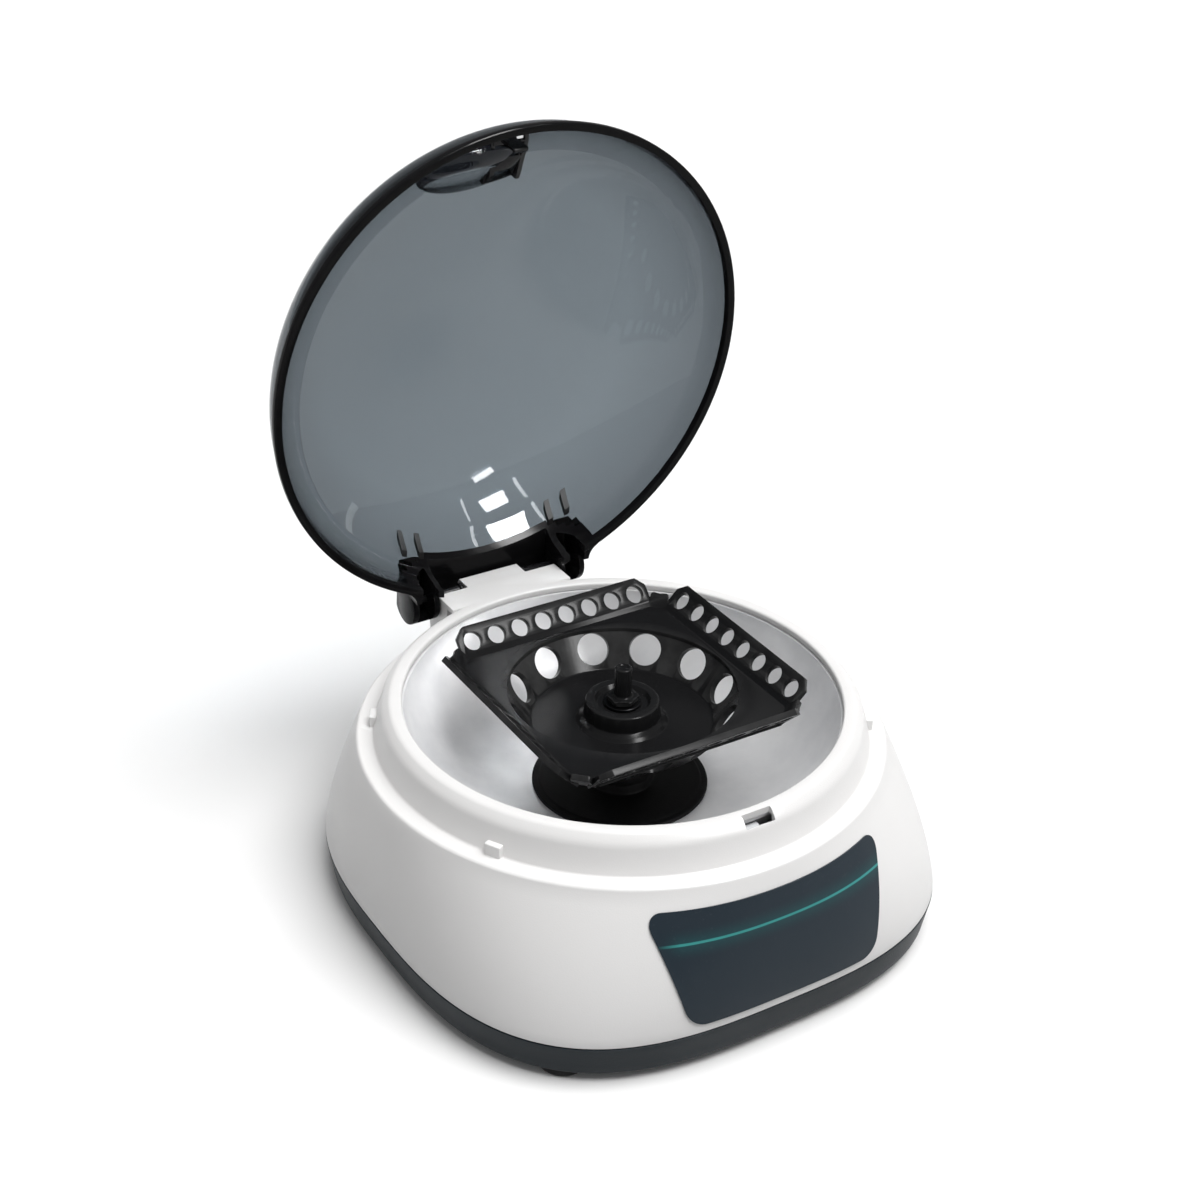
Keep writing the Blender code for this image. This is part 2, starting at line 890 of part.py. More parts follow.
# Motor, its plate, dampers and shaft
def make_motor_plate():
    outline = []
    for angle in lobe_angles:
        centre = (lobe_centre * cos(angle), lobe_centre * sin(angle))
        outline += arc(centre, lobe_radius, angle - pi / 2, angle + pi / 2, 6)
        outline += arc((0, 0), plate_radius, angle + pi / 4, angle + pi * 5 / 12, 3)
    holes = [circle((0, 0), bearing_radius + seat_gap, round_steps)]
    for angle in lobe_angles:
        centre = (lobe_centre * cos(angle), lobe_centre * sin(angle))
        holes.append(circle(centre, lobe_hole + seat_gap, small_steps))
    lift = Matrix.Translation((0, 0, motor_plate_bottom + plate_thickness / 2))
    piece = plate("motor_plate", outline, plate_thickness, base, holes, lift)
    return finish(piece, steel)


def make_motor():
    top = motor_plate_bottom - seat_gap
    bore = shaft_radius + running_gap
    profile = [
        (bore, top),
        (can_radius - can_edge, top),
        (can_radius, top - can_edge),
        (can_radius, can_bottom + can_edge),
        (can_radius - can_edge, can_bottom),
        (0, can_bottom),
        (0, can_bottom + can_edge),
        (bore, can_bottom + can_edge),
    ]
    return finish(turned("motor_can", profile, base, round_steps, closed=True), steel)


def make_bearing():
    bottom = motor_plate_bottom
    profile = [
        (shaft_radius + seat_gap, bottom + bearing_height),
        (bearing_radius - can_edge / 4, bottom + bearing_height),
        (bearing_radius, bottom + bearing_height - can_edge / 4),
        (bearing_radius, bottom),
        (shaft_radius + seat_gap, bottom),
    ]
    return finish(turned("shaft_bearing", profile, base, small_steps, closed=True), steel)


def make_dampers():
    bottom = damper_post_top() + seat_gap
    top = motor_plate_bottom - seat_gap
    middle = (bottom + top) / 2
    bore = stud_radius + seat_gap
    profile = [
        (bore, top),
        (damper_radius, top),
        (damper_waist, middle),
        (damper_radius, bottom),
        (bore, bottom),
    ]
    for i, angle in enumerate(lobe_angles):
        place = (lobe_centre * cos(angle), lobe_centre * sin(angle))
        name = f"motor_damper_{i + 1}"
        finish(turned(name, profile, base, small_steps, closed=True, place=place), black_rubber)


def damper_post_top():
    return motor_plate_bottom - 2 * damper_radius


def make_shaft():
    bottom = can_bottom + can_edge + seat_gap
    shaft = drum("motor_shaft", shaft_radius, bottom, shaft_top, spin, steps=small_steps)
    soften(shaft, shaft_radius / 5)
    return finish(shaft, steel)


def make_drive_hub():
    bore = shaft_radius + seat_gap
    top = hub_underside - seat_gap
    profile = [
        (bore, top),
        (drive_hub_radius * 1.5, top),
        (drive_hub_radius * 1.5, top - rotor_wall),
        (drive_hub_radius, top - rotor_wall * 2),
        (drive_hub_radius, drive_hub_bottom + bowl_sheet),
        (drive_hub_radius - bowl_sheet / 2, drive_hub_bottom),
        (bore, drive_hub_bottom),
    ]
    return finish(turned("drive_hub", profile, spin, round_steps, closed=True), dark)


# Rotor
def rotor_well():
    """The cone, its floor and the hub boss as one turned shape round the shaft's bore."""
    top = deck_top - rotor_wall / 3
    drop = top - well_floor
    lean = hypot(drop, well_top_radius - well_floor_radius)
    side = rotor_wall * lean / drop
    bore = shaft_radius + seat_gap
    profile = [
        (well_top_radius + side, top),
        (well_floor_radius + side, well_floor),
        (well_floor_radius, hub_underside),
        (bore, hub_underside),
        (bore, hub_top - hub_dish_depth),
        (hub_dish_radius - rotor_wall / 2, hub_top - hub_dish_depth),
        (hub_dish_radius, hub_top),
        (hub_radius - rotor_wall / 3, hub_top),
        (hub_radius, hub_top - rotor_wall / 3),
        (hub_radius + rotor_wall / 4, well_floor + rotor_wall),
        (hub_foot_radius, well_floor + rotor_wall / 2),
        (hub_foot_radius + rotor_wall / 2, well_floor),
        (well_floor_radius, well_floor),
        (well_top_radius, top),
    ]
    return turned("rotor", profile, spin, rotor_steps, closed=True)


def rotor_deck():
    near = deck_corner_sum - deck_half
    quarter = [(deck_half, near), (near, deck_half)]
    outline = []
    for turn in range(4):
        spun = Matrix.Rotation(turn * pi / 2, 2)
        outline += [tuple(spun @ Vector(point)) for point in quarter]
    hole = circle((0, 0), deck_hole_radius, rotor_steps)
    lift = Matrix.Translation((0, 0, deck_top - rotor_wall / 2))
    return plate("rotor deck", outline, rotor_wall, spin, [hole], lift)


def strip_flange(quarter):
    """A leaning flange with a row of holes for a tube strip, in its own plane."""
    foot = -rotor_wall
    outline = [
        (-flange_half_fold, foot),
        (flange_half_fold, foot),
        (flange_half_fold, flange_length - flange_chamfer),
        (flange_half_top, flange_length),
        (-flange_half_top, flange_length),
        (-flange_half_fold, flange_length - flange_chamfer),
    ]
    first = -strip_pitch * (strip_holes - 1) / 2
    holes = []
    for i in range(strip_holes):
        centre = (first + strip_pitch * i, strip_hole_reach)
        holes.append(circle(centre, strip_hole_radius, strip_hole_steps))
    return plate("strip flange", outline, rotor_wall, spin, holes, lean_out(flange_fold, quarter))


def lean_out(fold, quarter):
    """Stands a plate at 45 degrees on a fold line, then turns it round the rotor's axis."""
    sunk = Matrix.Translation((0, 0, rotor_wall / 2))
    lean = Matrix.Rotation(3 * pi / 4, 4, "X")
    out = Matrix.Translation((0, -fold, deck_top))
    return Matrix.Rotation(quarter * pi / 2, 4, "Z") @ out @ lean @ sunk


def corner_flange(quarter):
    outline = [
        (-corner_half_width - rotor_wall / 2, -rotor_wall),
        (corner_half_width + rotor_wall / 2, -rotor_wall),
        (corner_half_width, corner_length),
        (0, corner_length - rotor_wall / 4),
        (-corner_half_width, corner_length),
    ]
    fold = (deck_corner_sum - rotor_wall / 4) / sqrt(2)
    return plate("corner flange", outline, rotor_wall, spin, matrix=lean_out(fold, quarter + 0.5))


def tube_drills():
    """Twelve drills square to the cone, half way up its side."""
    top = deck_top - rotor_wall / 3
    middle_radius = (well_top_radius + well_floor_radius) / 2
    middle = Vector((middle_radius, 0, (top + well_floor) / 2 + rotor_wall / 4))
    along = Vector((well_top_radius - well_floor_radius, 0, top - well_floor))
    tilt = Vector((0, 0, 1)).rotation_difference(Vector((along.z, 0, -along.x)))
    drills = []
    for i in range(tube_holes):
        turn = Matrix.Rotation(2 * pi * (i + 0.5) / tube_holes, 4, "Z")
        place = turn @ Matrix.Translation(middle) @ tilt.to_matrix().to_4x4()
        reach = rotor_wall + overrun
        drill = drum("drill", tube_hole_radius, -reach, reach, spin, steps=tube_hole_steps, turn=place)
        drills.append(drill)
    return merged("tube drills", drills, spin)


def make_rotor():
    rotor = rotor_well()
    join(rotor, rotor_deck())
    for quarter in range(4):
        join(rotor, strip_flange(quarter))
    for quarter in range(4):
        join(rotor, corner_flange(quarter))
    cut(rotor, tube_drills())
    return finish(rotor, gloss_black)


def make_nut():
    bottom = hub_top - hub_dish_depth + seat_gap + washer_thickness + seat_gap
    bore = shaft_radius + seat_gap
    flange_top = bottom + nut_flange_height
    profile = [
        (0, nut_top),
        (nut_radius - nut_edge, nut_top),
        (nut_radius, nut_top - nut_edge),
        (nut_radius, flange_top + nut_edge),
        (nut_radius + nut_edge, flange_top),
        (nut_flange_radius, flange_top),
        (nut_flange_radius, bottom),
        (bore, bottom),
        (bore, shaft_top + seat_gap),
        (0, shaft_top + shaft_radius),
    ]
    return finish(turned("rotor_nut", profile, spin, round_steps), gloss_black)


def make_washer():
    bottom = hub_top - hub_dish_depth + seat_gap
    profile = [
        (shaft_radius + seat_gap, bottom + washer_thickness),
        (washer_radius, bottom + washer_thickness),
        (washer_radius, bottom),
        (shaft_radius + seat_gap, bottom),
    ]
    return finish(turned("nut_washer", profile, spin, round_steps, closed=True), steel)


# Lid, modelled closed
def dome_profile(radius, rise, rows):
    points = []
    for i in range(rows + 1):
        angle = pi / 2 * (1 - i / rows)
        points.append((radius * cos(angle), dome_start + rise * sin(angle)))
    points[0] = (0, dome_start + rise)
    return points


def dome_solid(name):
    profile = dome_profile(dome_radius, dome_rise, cap_rows)
    profile += [
        (dome_radius, lid_rim + rim_height),
        (lid_radius, lid_rim + rim_height - lid_wall / 8),
        (lid_radius, lid_rim),
        (0, lid_rim),
    ]
    return turned(name, profile, lid, dome_steps)


def cavity(name, inset, recess_centre):
    """The space inside the lid, drawn in by inset, with the finger recess swelling into it."""
    profile = dome_profile(dome_radius - lid_wall - inset, dome_rise - lid_wall - inset, cap_rows)
    profile += [
        (rim_inner_radius - inset, lid_rim + rim_height),
        (rim_inner_radius - inset, lid_rim - overrun),
        (0, lid_rim - overrun),
    ]
    space = turned(name, profile, lid, dome_steps)
    cut(space, recess("recess swell", lid_wall + inset, recess_centre))
    return space


def recess(name, grow, centre):
    """The scoop for a fingertip in the front of the dome."""
    work = bmesh.new()
    bmesh.ops.create_uvsphere(work, u_segments=round_steps, v_segments=round_steps // 2, radius=1)
    slope = Vector((0, -recess_along / dome_radius, sqrt(1 - (recess_along / dome_radius) ** 2)))
    tilt = Vector((0, 0, 1)).rotation_difference(slope)
    size = (recess_half_width + grow, recess_half_length + grow, recess_depth + grow)
    bmesh.ops.scale(work, vec=size, verts=work.verts)
    place = Matrix.Translation(centre) @ tilt.to_matrix().to_4x4()
    bmesh.ops.transform(work, matrix=place, verts=work.verts)
    return from_bmesh(name, work, lid)


def recess_place():
    reach = hypot(recess_across, recess_along)
    height = dome_start + dome_rise * sqrt(1 - (reach / dome_radius) ** 2)
    return Vector((recess_across, -recess_along, height))


def ear_outline():
    axis = (hinge_back, hinge_height)
    rise = asin((ear_roof - hinge_height) / ear_radius)
    return [
        (ear_front, ear_roof),
        (ear_front, lid_rim + rim_height / 2),
        (hinge_back - ear_radius, lid_rim + rim_height / 2),
        *arc(axis, ear_radius, -pi * 3 / 4, rise, 10),
    ]


def ear(side):
    ends = sorted((side * ear_inner, side * ear_outer))
    return side_plate("ear", ear_outline(), ends[0], ends[1], lid)


def ear_fillet(side):
    """The web that blends the ear's outer face into the rim."""
    centre_x = ear_outer + fillet_radius
    centre_y = sqrt((lid_radius + fillet_radius) ** 2 - centre_x**2)
    start = -pi
    rim_angle = Vector((-centre_x, -centre_y)).angle_signed(Vector((-1, 0)))
    outline = arc((centre_x, centre_y), fillet_radius, start, start + abs(rim_angle), 5)
    inner = ear_outer - lid_wall
    outline += [(inner, outline[-1][1] - lid_wall), (inner, centre_y)]
    outline = [(side * x, y) for x, y in outline]
    middle = (lid_rim + fillet_top) / 2
    lift = Matrix.Translation((0, 0, middle))
    return plate("ear fillet", outline, fillet_top - lid_rim - seat_gap, lid, matrix=lift)


def ear_pocket(side):
    ends = sorted((side * (ear_inner + ear_cheek), side * (ear_outer - ear_cheek)))
    low = (ends[0], dome_radius * 0.9, lid_rim - overrun)
    high = (ends[1], hinge_back + ear_radius - ear_cheek, cover_underside)
    return box("ear pocket", low, high, lid)


def ear_bores():
    turn = lay_x(hinge_back, hinge_height)
    end = pin_outer_end + seat_gap
    radius = pin_radius + pin_fit
    right = drum("bore", radius, ear_inner - overrun, end, lid, steps=small_steps, turn=turn)
    left = drum("bore", radius, -end, overrun - ear_inner, lid, steps=small_steps, turn=turn)
    return merged("ear bores", [left, right], lid)


def hinge_cover():
    low = (-ear_inner - ear_cheek / 2, ear_front, cover_underside)
    high = (ear_inner + ear_cheek / 2, cover_back, ear_roof)
    return box("hinge cover", low, high, lid)


def hinge_window():
    low = (-ear_inner, ear_front - overrun, lid_rim - overrun)
    high = (ear_inner, cover_back + overrun, cover_underside)
    return box("hinge window", low, high, lid)


def lid_ribs():
    """Thin ribs that run from the ears' cheeks up inside the dome."""
    ribs = []
    for x in (ear_inner + rib_width, ear_outer - rib_width):
        for side in (-1, 1):
            middle = side * x
            low = (middle - rib_width / 2, dome_radius / 2, cover_underside)
            high = (middle + rib_width / 2, dome_radius, cover_underside + rib_rise)
            ribs.append(box("rib", low, high, lid))
    group = merged("lid ribs", ribs, lid)
    keep(group, dome_core("rib limit", lid_wall / 2))
    cut(group, dome_core("rib depth", lid_wall + rib_height))
    return group


def dome_core(name, inset):
    """The dome's space drawn in by inset, down to where the cap starts."""
    profile = dome_profile(dome_radius - inset, dome_rise - inset, cap_rows)
    return turned(name, [*profile, (0, dome_start)], lid, dome_steps)


def make_lid():
    dome = dome_solid("lid_dome")
    centre = recess_place()
    join(dome, ear(-1), ear(1), ear_fillet(-1), ear_fillet(1), hinge_cover())
    cut(dome, recess("finger recess", 0, centre), cavity("lid cavity", 0, centre))
    cut(dome, hinge_window(), ear_pocket(-1), ear_pocket(1), ear_bores())
    join(dome, lid_ribs())
    return finish(dome, smoke)


def make_pins():
    turn = lay_x(hinge_back, hinge_height)
    for side, name in ((-1, "hinge_pin_left"), (1, "hinge_pin_right")):
        ends = sorted((side * pin_inner_end, side * pin_outer_end))
        pin = drum(name, pin_radius, ends[0], ends[1], base, steps=small_steps, turn=turn)
        head = sorted((side * (knuckle_half_width + seat_gap),
                       side * (knuckle_half_width + seat_gap + pin_head_length)))
        join(pin, drum("pin head", pin_head_radius, head[0], head[1], base, steps=small_steps, turn=turn))
        finish(pin, dark)


# Latch on the lid
def make_bracket():
    centre = recess_place()
    inside = bracket_half_width - bracket_plate / 2
    hook = box(
        "latch_bracket",
        (-inside, -hook_plate_front, hook_plate_bottom),
        (inside, -hook_plate_back, hook_plate_top),
        lid,
    )
    top = dome_start + dome_rise
    web = box(
        "bracket web",
        (-inside, -hook_plate_front + seat_gap, hook_plate_top - bracket_plate),
        (inside, -bracket_inner - seat_gap, top + overrun),
        lid,
    )
    cut(web, cavity("web depth", seat_gap + bracket_plate, centre))
    join(hook, web)
    for side in (-1, 1):
        join(hook, bracket_cheek(side, top))
    keep(hook, cavity("bracket seat", seat_gap, centre))
    join(hook, latch_finger())
    low, high = magnet_corners(seat_gap)
    pocket = box("magnet pocket", (*low[:2], hook_plate_bottom - overrun), high, lid)
    cut(hook, *bracket_windows(top), pocket)
    return finish(hook, dark)


def bracket_cheek(side, top):
    ends = sorted((side * bracket_half_width, side * (bracket_half_width - bracket_plate)))
    front = hook_plate_front - seat_gap * 2
    bottom = hook_plate_bottom + seat_gap
    outline = [
        (-bracket_inner, top),
        (-front, top),
        (-front, bottom),
        (-hook_plate_back + seat_gap, bottom),
        (-bracket_inner, hook_plate_top + bracket_plate),
    ]
    return side_plate("bracket cheek", outline, ends[0], ends[1], lid)


def latch_finger():
    outline = [
        (-finger_front, hook_plate_bottom + bracket_plate),
        (-finger_front, finger_bottom + hook_nose / 2),
        (-finger_front + hook_nose / 2, finger_bottom),
        (-finger_back, finger_bottom),
        (-finger_back + hook_nose, finger_bottom + hook_nose),
        (-finger_back + hook_nose, finger_bottom + hook_nose_height),
        (-finger_back, finger_bottom + hook_nose_height),
        (-finger_back, hook_plate_bottom + bracket_plate),
    ]
    return side_plate("latch finger", outline, finger_left, finger_right, lid)


def bracket_windows(top):
    windows = []
    for start in (bracket_inner + bracket_plate, hook_plate_back - bracket_plate - window_length):
        low = (-window_half_width, -start - window_length, hook_plate_bottom)
        high = (0 if start < recess_along - window_length else window_half_width, -start, top)
        windows.append(box("bracket window", low, high, lid))
    return windows


def make_magnet():
    low, high = magnet_corners()
    return finish(box("lid_magnet", low, high, lid), steel)


def magnet_corners(grow=0.0):
    """The magnet in the underside of the hook plate, or its pocket when grown."""
    front = -(hook_plate_front + hook_plate_back + magnet_thickness) / 2
    low = (magnet_left - grow, front - grow, hook_plate_bottom + seat_gap)
    high = (magnet_left + magnet_width, front + magnet_thickness, low[2] + magnet_height)
    return low, tuple(value + grow for value in high)


# Latch in the body
def make_catch():
    turn = lay_x(-catch_pivot_y, catch_pivot_z)
    barrel = catch_barrel_radius
    catch = drum("latch_catch", barrel, catch_left, catch_right, pawl, steps=small_steps, turn=turn)
    outline = [
        (-catch_arm_front, catch_pivot_z),
        (-catch_arm_back, catch_pivot_z),
        (-catch_arm_back, catch_nose_top),
        (-catch_arm_front - hook_nose / 2, catch_nose_top),
        (-catch_nose_reach, catch_nose_bottom + hook_nose / 2),
        (-catch_nose_reach, catch_nose_bottom),
        (-catch_arm_front, catch_nose_bottom),
    ]
    left, right = catch_left + seat_gap, catch_right - seat_gap
    join(catch, side_plate("catch arm", outline, left, right, pawl))
    bore = catch_pin_radius + pin_fit
    reach = slot_half_width + overrun
    cut(catch, drum("catch bore", bore, -reach, reach, pawl, steps=small_steps, turn=turn))
    return finish(catch, grey)


def make_housing():
    shelf = ledge_height - shell_wall - seat_gap
    outline = [
        (-housing_front, housing_bottom),
        (-housing_back, housing_bottom),
        (-housing_back, shelf),
        (-housing_neck_back, housing_top),
        (-housing_neck_front, housing_top),
        (-housing_neck_front, shelf),
        (-housing_front, shelf),
    ]
    width = housing_half_width
    housing = side_plate("latch_housing", outline, -width, width, base)
    inside = housing_half_width - housing_cheek
    bay = box(
        "housing bay",
        (-inside, -housing_front - overrun, housing_bottom + housing_floor),
        (inside, -housing_back + overrun, housing_top + overrun),
        base,
    )
    turn = lay_x(-catch_pivot_y, catch_pivot_z)
    reach = housing_half_width + overrun
    bore = drum("pin bore", catch_pin_radius + pin_fit, -reach, reach, base, steps=small_steps, turn=turn)
    cut(housing, bay, bore)
    return finish(housing, grey)


def make_catch_pin():
    turn = lay_x(-catch_pivot_y, catch_pivot_z)
    reach = housing_half_width
    pin = drum("catch_pin", catch_pin_radius, -reach, reach, base, steps=small_steps, turn=turn)
    return finish(pin, steel)


def make_catch_spring():
    """A torsion spring round the pin, beside the catch's barrel."""
    start = catch_right + running_gap + spring_wire_radius
    pitch = spring_wire_radius * 2 + seat_gap * 1.5
    steps = small_steps // 2
    points = []
    for i in range(spring_turns * steps + 1):
        angle = 2 * pi * i / steps
        points.append((
            start + pitch * i / steps,
            -catch_pivot_y + spring_coil_radius * cos(angle),
            catch_pivot_z + spring_coil_radius * sin(angle),
        ))
    end_x, end_y, end_z = points[-1]
    points.append((end_x, end_y, end_z - spring_leg))
    data = bpy.data.curves.new("catch_spring", "CURVE")
    data.dimensions = "3D"
    data.bevel_depth = spring_wire_radius
    data.bevel_resolution = 1
    data.use_fill_caps = True
    spline = data.splines.new("POLY")
    spline.points.add(len(points) - 1)
    for point, place in zip(spline.points, points):
        point.co = (*place, 1)
    curve = bpy.data.objects.new("spring wire", data)
    parts.objects.link(curve)
    return finish(make_object("catch_spring", meshed(curve), base), steel)


def make_sensor():
    """A reed sensor on the housing's right cheek, under the magnet of the closed lid."""
    left = housing_half_width + seat_gap
    front = -(housing_neck_front + housing_neck_back + sensor_depth) / 2
    low = (left, front, housing_top - sensor_height)
    high = (left + sensor_width, front + sensor_depth, housing_top)
    return finish(box("reed_sensor", low, high, base), black_plastic)


# Base tray
def tray_ring(height, inset):
    share = (tray_top - height) / (tray_top - foot_height)
    draw = inset + tray_draft * share
    return oval(body_half_width - draw, body_front - draw, body_back - draw,
                front_roundness, back_roundness, height)


def make_tray():
    outer = [
        tray_ring(foot_height, tray_edge),
        tray_ring(foot_height + tray_edge, 0),
        tray_ring(tray_top, 0),
    ]
    lip_top = tray_top + lip_height
    lip = shell_wall + lip_clearance
    middle = [
        oval(body_half_width - lip, body_front - lip, body_back - lip,
             front_roundness, back_roundness, height)
        for height in (tray_top, lip_top)
    ]
    inner = [
        oval(body_half_width - lip - lip_wall, body_front - lip - lip_wall,
             body_back - lip - lip_wall, front_roundness, back_roundness, lip_top),
        tray_ring(tray_inside, tray_wall + lip_wall),
    ]
    tray = loft("base_tray", outer + middle + inner, base)
    posts = [tray_post(*place, post_radius, damper_post_top()) for place in lobe_places()]
    posts += [tray_post(x, y, case_post_radius, case_post_top) for x, y in case_places()]
    posts += [tray_post(x, y, board_post_radius, board_height - seat_gap) for x, y in board_places()]
    join(tray, merged("tray posts", posts, base))
    studs = [
        drum("stud", stud_radius, damper_post_top() - overrun, motor_plate_top, base, place, small_steps)
        for place in lobe_places()
    ]
    join(tray, merged("damper studs", studs, base))
    cut(tray, merged("screw wells", [screw_well(x, y) for x, y in case_places()], base))
    cut(tray, merged("foot sockets", [foot_socket(x, y) for x, y in foot_places()], base))
    return finish(tray, slate)


def tray_post(x, y, radius, top):
    return drum("tray post", radius, tray_inside - tray_floor / 2, top, base, (x, y), small_steps)


def lobe_places():
    return [(lobe_centre * cos(angle), lobe_centre * sin(angle)) for angle in lobe_angles]


def board_places():
    inset = board_post_radius * 1.5
    return [
        (side * (board_half_width - inset), along)
        for side in (-1, 1)
        for along in (-board_front + inset, -board_back - inset)
    ]


def screw_well(x, y):
    """A counterbore from below that leaves a seat for the screw's head."""
    seat = case_screw_seat()
    profile = [
        (0, case_post_top + overrun),
        (case_screw_radius + pin_fit, case_post_top + overrun),
        (case_screw_radius + pin_fit, seat),
        (case_screw_head_radius + seat_gap, seat),
        (case_screw_head_radius + seat_gap, foot_height - overrun),
        (0, foot_height - overrun),
    ]
    return turned("screw well", profile, base, small_steps, place=(x, y))


def case_screw_seat():
    return case_post_top - 2 * case_post_radius


def make_case_screws():
    seat = case_screw_seat() - seat_gap
    radius = case_screw_radius - pin_fit
    top = case_post_top + shell_boss_height - seat_gap
    profile = [
        (0, top),
        (radius, top - radius),
        (radius, seat),
        (case_screw_head_radius, seat),
        (case_screw_head_radius, seat - case_screw_head / 2),
        (case_screw_head_radius * 0.6, seat - case_screw_head),
        (0, seat - case_screw_head),
    ]
    for i, (x, y) in enumerate(case_places()):
        finish(turned(f"case_screw_{i + 1}", profile, base, small_steps, place=(x, y)), steel)


def foot_places():
    return [
        (side * foot_x, along) for side in (-1, 1) for along in (-foot_front, foot_back)
    ]


def foot_socket(x, y):
    radius = foot_plug_radius + seat_gap
    return drum("foot socket", radius, foot_height - overrun, tray_inside + overrun, base, (x, y), small_steps)


def make_feet():
    top = foot_height - seat_gap
    profile = [
        (0, tray_inside),
        (foot_plug_radius, tray_inside),
        (foot_plug_radius, top),
        (foot_radius, top),
        (foot_radius, foot_edge),
        (foot_radius - foot_edge, 0),
        (0, 0),
    ]
    for i, (x, y) in enumerate(foot_places()):
        finish(turned(f"foot_{i + 1}", profile, base, round_steps, place=(x, y)), black_rubber)


def make_board():
    bottom = board_height
    low = (-board_half_width, -board_front, bottom)
    high = (board_half_width, -board_back, bottom + board_thickness)
    board = box("circuit_board", low, high, base)
    return finish(board, board_green)


# Switch and inlet
def back_face():
    return body_back - back_flat_depth


def make_bezel():
    face = back_face() + seat_gap
    width, height = switch_half_width, switch_half_height
    flange = box(
        "switch_bezel",
        (switch_x - width - bezel_flange, face, back_flat_height - height - bezel_flange),
        (switch_x + width + bezel_flange, face + bezel_flange, back_flat_height + height + bezel_flange),
        base,
    )
    soften(flange, bezel_flange / 3)
    inner_width, inner_height = width - seat_gap, height - seat_gap
    barrel = box(
        "bezel barrel",
        (switch_x - inner_width, face - bezel_depth, back_flat_height - inner_height),
        (switch_x + inner_width, face + bezel_flange / 2, back_flat_height + inner_height),
        base,
    )
    join(flange, barrel)
    well_width, well_height = rocker_half_width + running_gap, rocker_half_height + running_gap
    well = box(
        "bezel well",
        (switch_x - well_width, face - bezel_depth + bezel_wall, back_flat_height - well_height),
        (switch_x + well_width, face + bezel_flange + overrun, back_flat_height + well_height),
        base,
    )
    cut(flange, well)
    return finish(flange, black_plastic)


def make_rocker():
    """The rocker tips about a line along Z at its middle, and rests on its pressed half."""
    half = rocker_half_width
    depth = rocker_half_height
    lift = half * sin(rocker_tilt)
    outline = [
        (-half * cos(rocker_tilt), lift),
        (0, -lift / 4),
        (half * cos(rocker_tilt), lift),
        (half * 0.9, -depth * 0.6),
        (depth * 0.4, -depth),
        (-depth * 0.4, -depth),
        (-half * 0.9, -depth * 0.6),
    ]
    tilt = Matrix.Rotation(rocker_tilt, 4, "Z")
    piece = plate("switch_rocker", outline[::-1], 2 * depth, rocker, matrix=tilt)
    return finish(piece, black_plastic)


def make_inlet():
    face = back_face() + seat_gap
    turn = lay_y(inlet_x, back_flat_height)
    front = -face - inlet_flange
    barrel = drum("power_inlet", inlet_radius, -face, -face + inlet_depth, base, turn=turn)
    flange = drum("inlet flange", inlet_flange_radius, front, -face + seat_gap, base, turn=turn)
    join(barrel, flange)
    deep = -face + inlet_depth - inlet_flange
    cut(barrel, drum("socket", inlet_socket_radius, front - overrun, deep, base, turn=turn))
    ends = (-face + inlet_flange, deep + inlet_flange / 2)
    join(barrel, drum("centre pin", inlet_pin_radius, *ends, base, steps=small_steps, turn=turn))
    return finish(barrel, black_plastic)


clear_scene()
white = make_material("white plastic", (0.86, 0.86, 0.87), 0.38)
slate = make_material("slate plastic", (0.045, 0.055, 0.062), 0.42)
smoke = make_material("smoke clear plastic", (0.10, 0.11, 0.12), 0.08, alpha=0.45)
dark = make_material("dark clear plastic", (0.03, 0.03, 0.035), 0.25)
gloss_black = make_material("gloss black plastic", (0.012, 0.012, 0.013), 0.12)
black_plastic = make_material("black plastic", (0.02, 0.02, 0.022), 0.40)
black_rubber = make_material("black rubber", (0.015, 0.015, 0.016), 0.75)
grey = make_material("grey plastic", (0.35, 0.36, 0.37), 0.45)
satin = make_material("satin metal", (0.72, 0.72, 0.73), 0.35, metallic=1.0)
steel = make_material("steel", (0.60, 0.60, 0.61), 0.30, metallic=1.0)
board_green = make_material("board green", (0.02, 0.16, 0.07), 0.45)

base = make_frame("base frame", (0, rotor_axis_y, 0))
hinge_axis = make_frame("hinge axis", (0, hinge_back, hinge_height), base, -lid_open_angle)
lid = make_frame("lid frame", (0, -hinge_back, -hinge_height), hinge_axis)
spin = make_frame("rotor axis", (0, 0, 0), base)
catch_axis = make_frame("catch axis", (0, -catch_pivot_y, catch_pivot_z), base)
pawl = make_frame("catch frame", (0, catch_pivot_y, -catch_pivot_z), catch_axis)
rocker_face = back_face() + bezel_flange
rocker = make_frame("rocker axis", (switch_x, rocker_face, back_flat_height), base)

make_shell()
make_panel()
make_bowl()
make_disc()
make_motor_plate()
make_motor()
make_bearing()
make_dampers()
make_shaft()
make_drive_hub()
make_rotor()
make_washer()
make_nut()
make_lid()
make_pins()
make_bracket()
make_magnet()
make_catch()
make_housing()
make_catch_pin()
make_catch_spring()
make_sensor()
make_tray()
make_case_screws()
make_feet()
make_board()
make_bezel()
make_rocker()
make_inlet()
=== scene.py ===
import json
from math import acos, asin, cos, hypot, pi, radians, sin, sqrt, tan

import bpy
from mathutils import Matrix, Vector


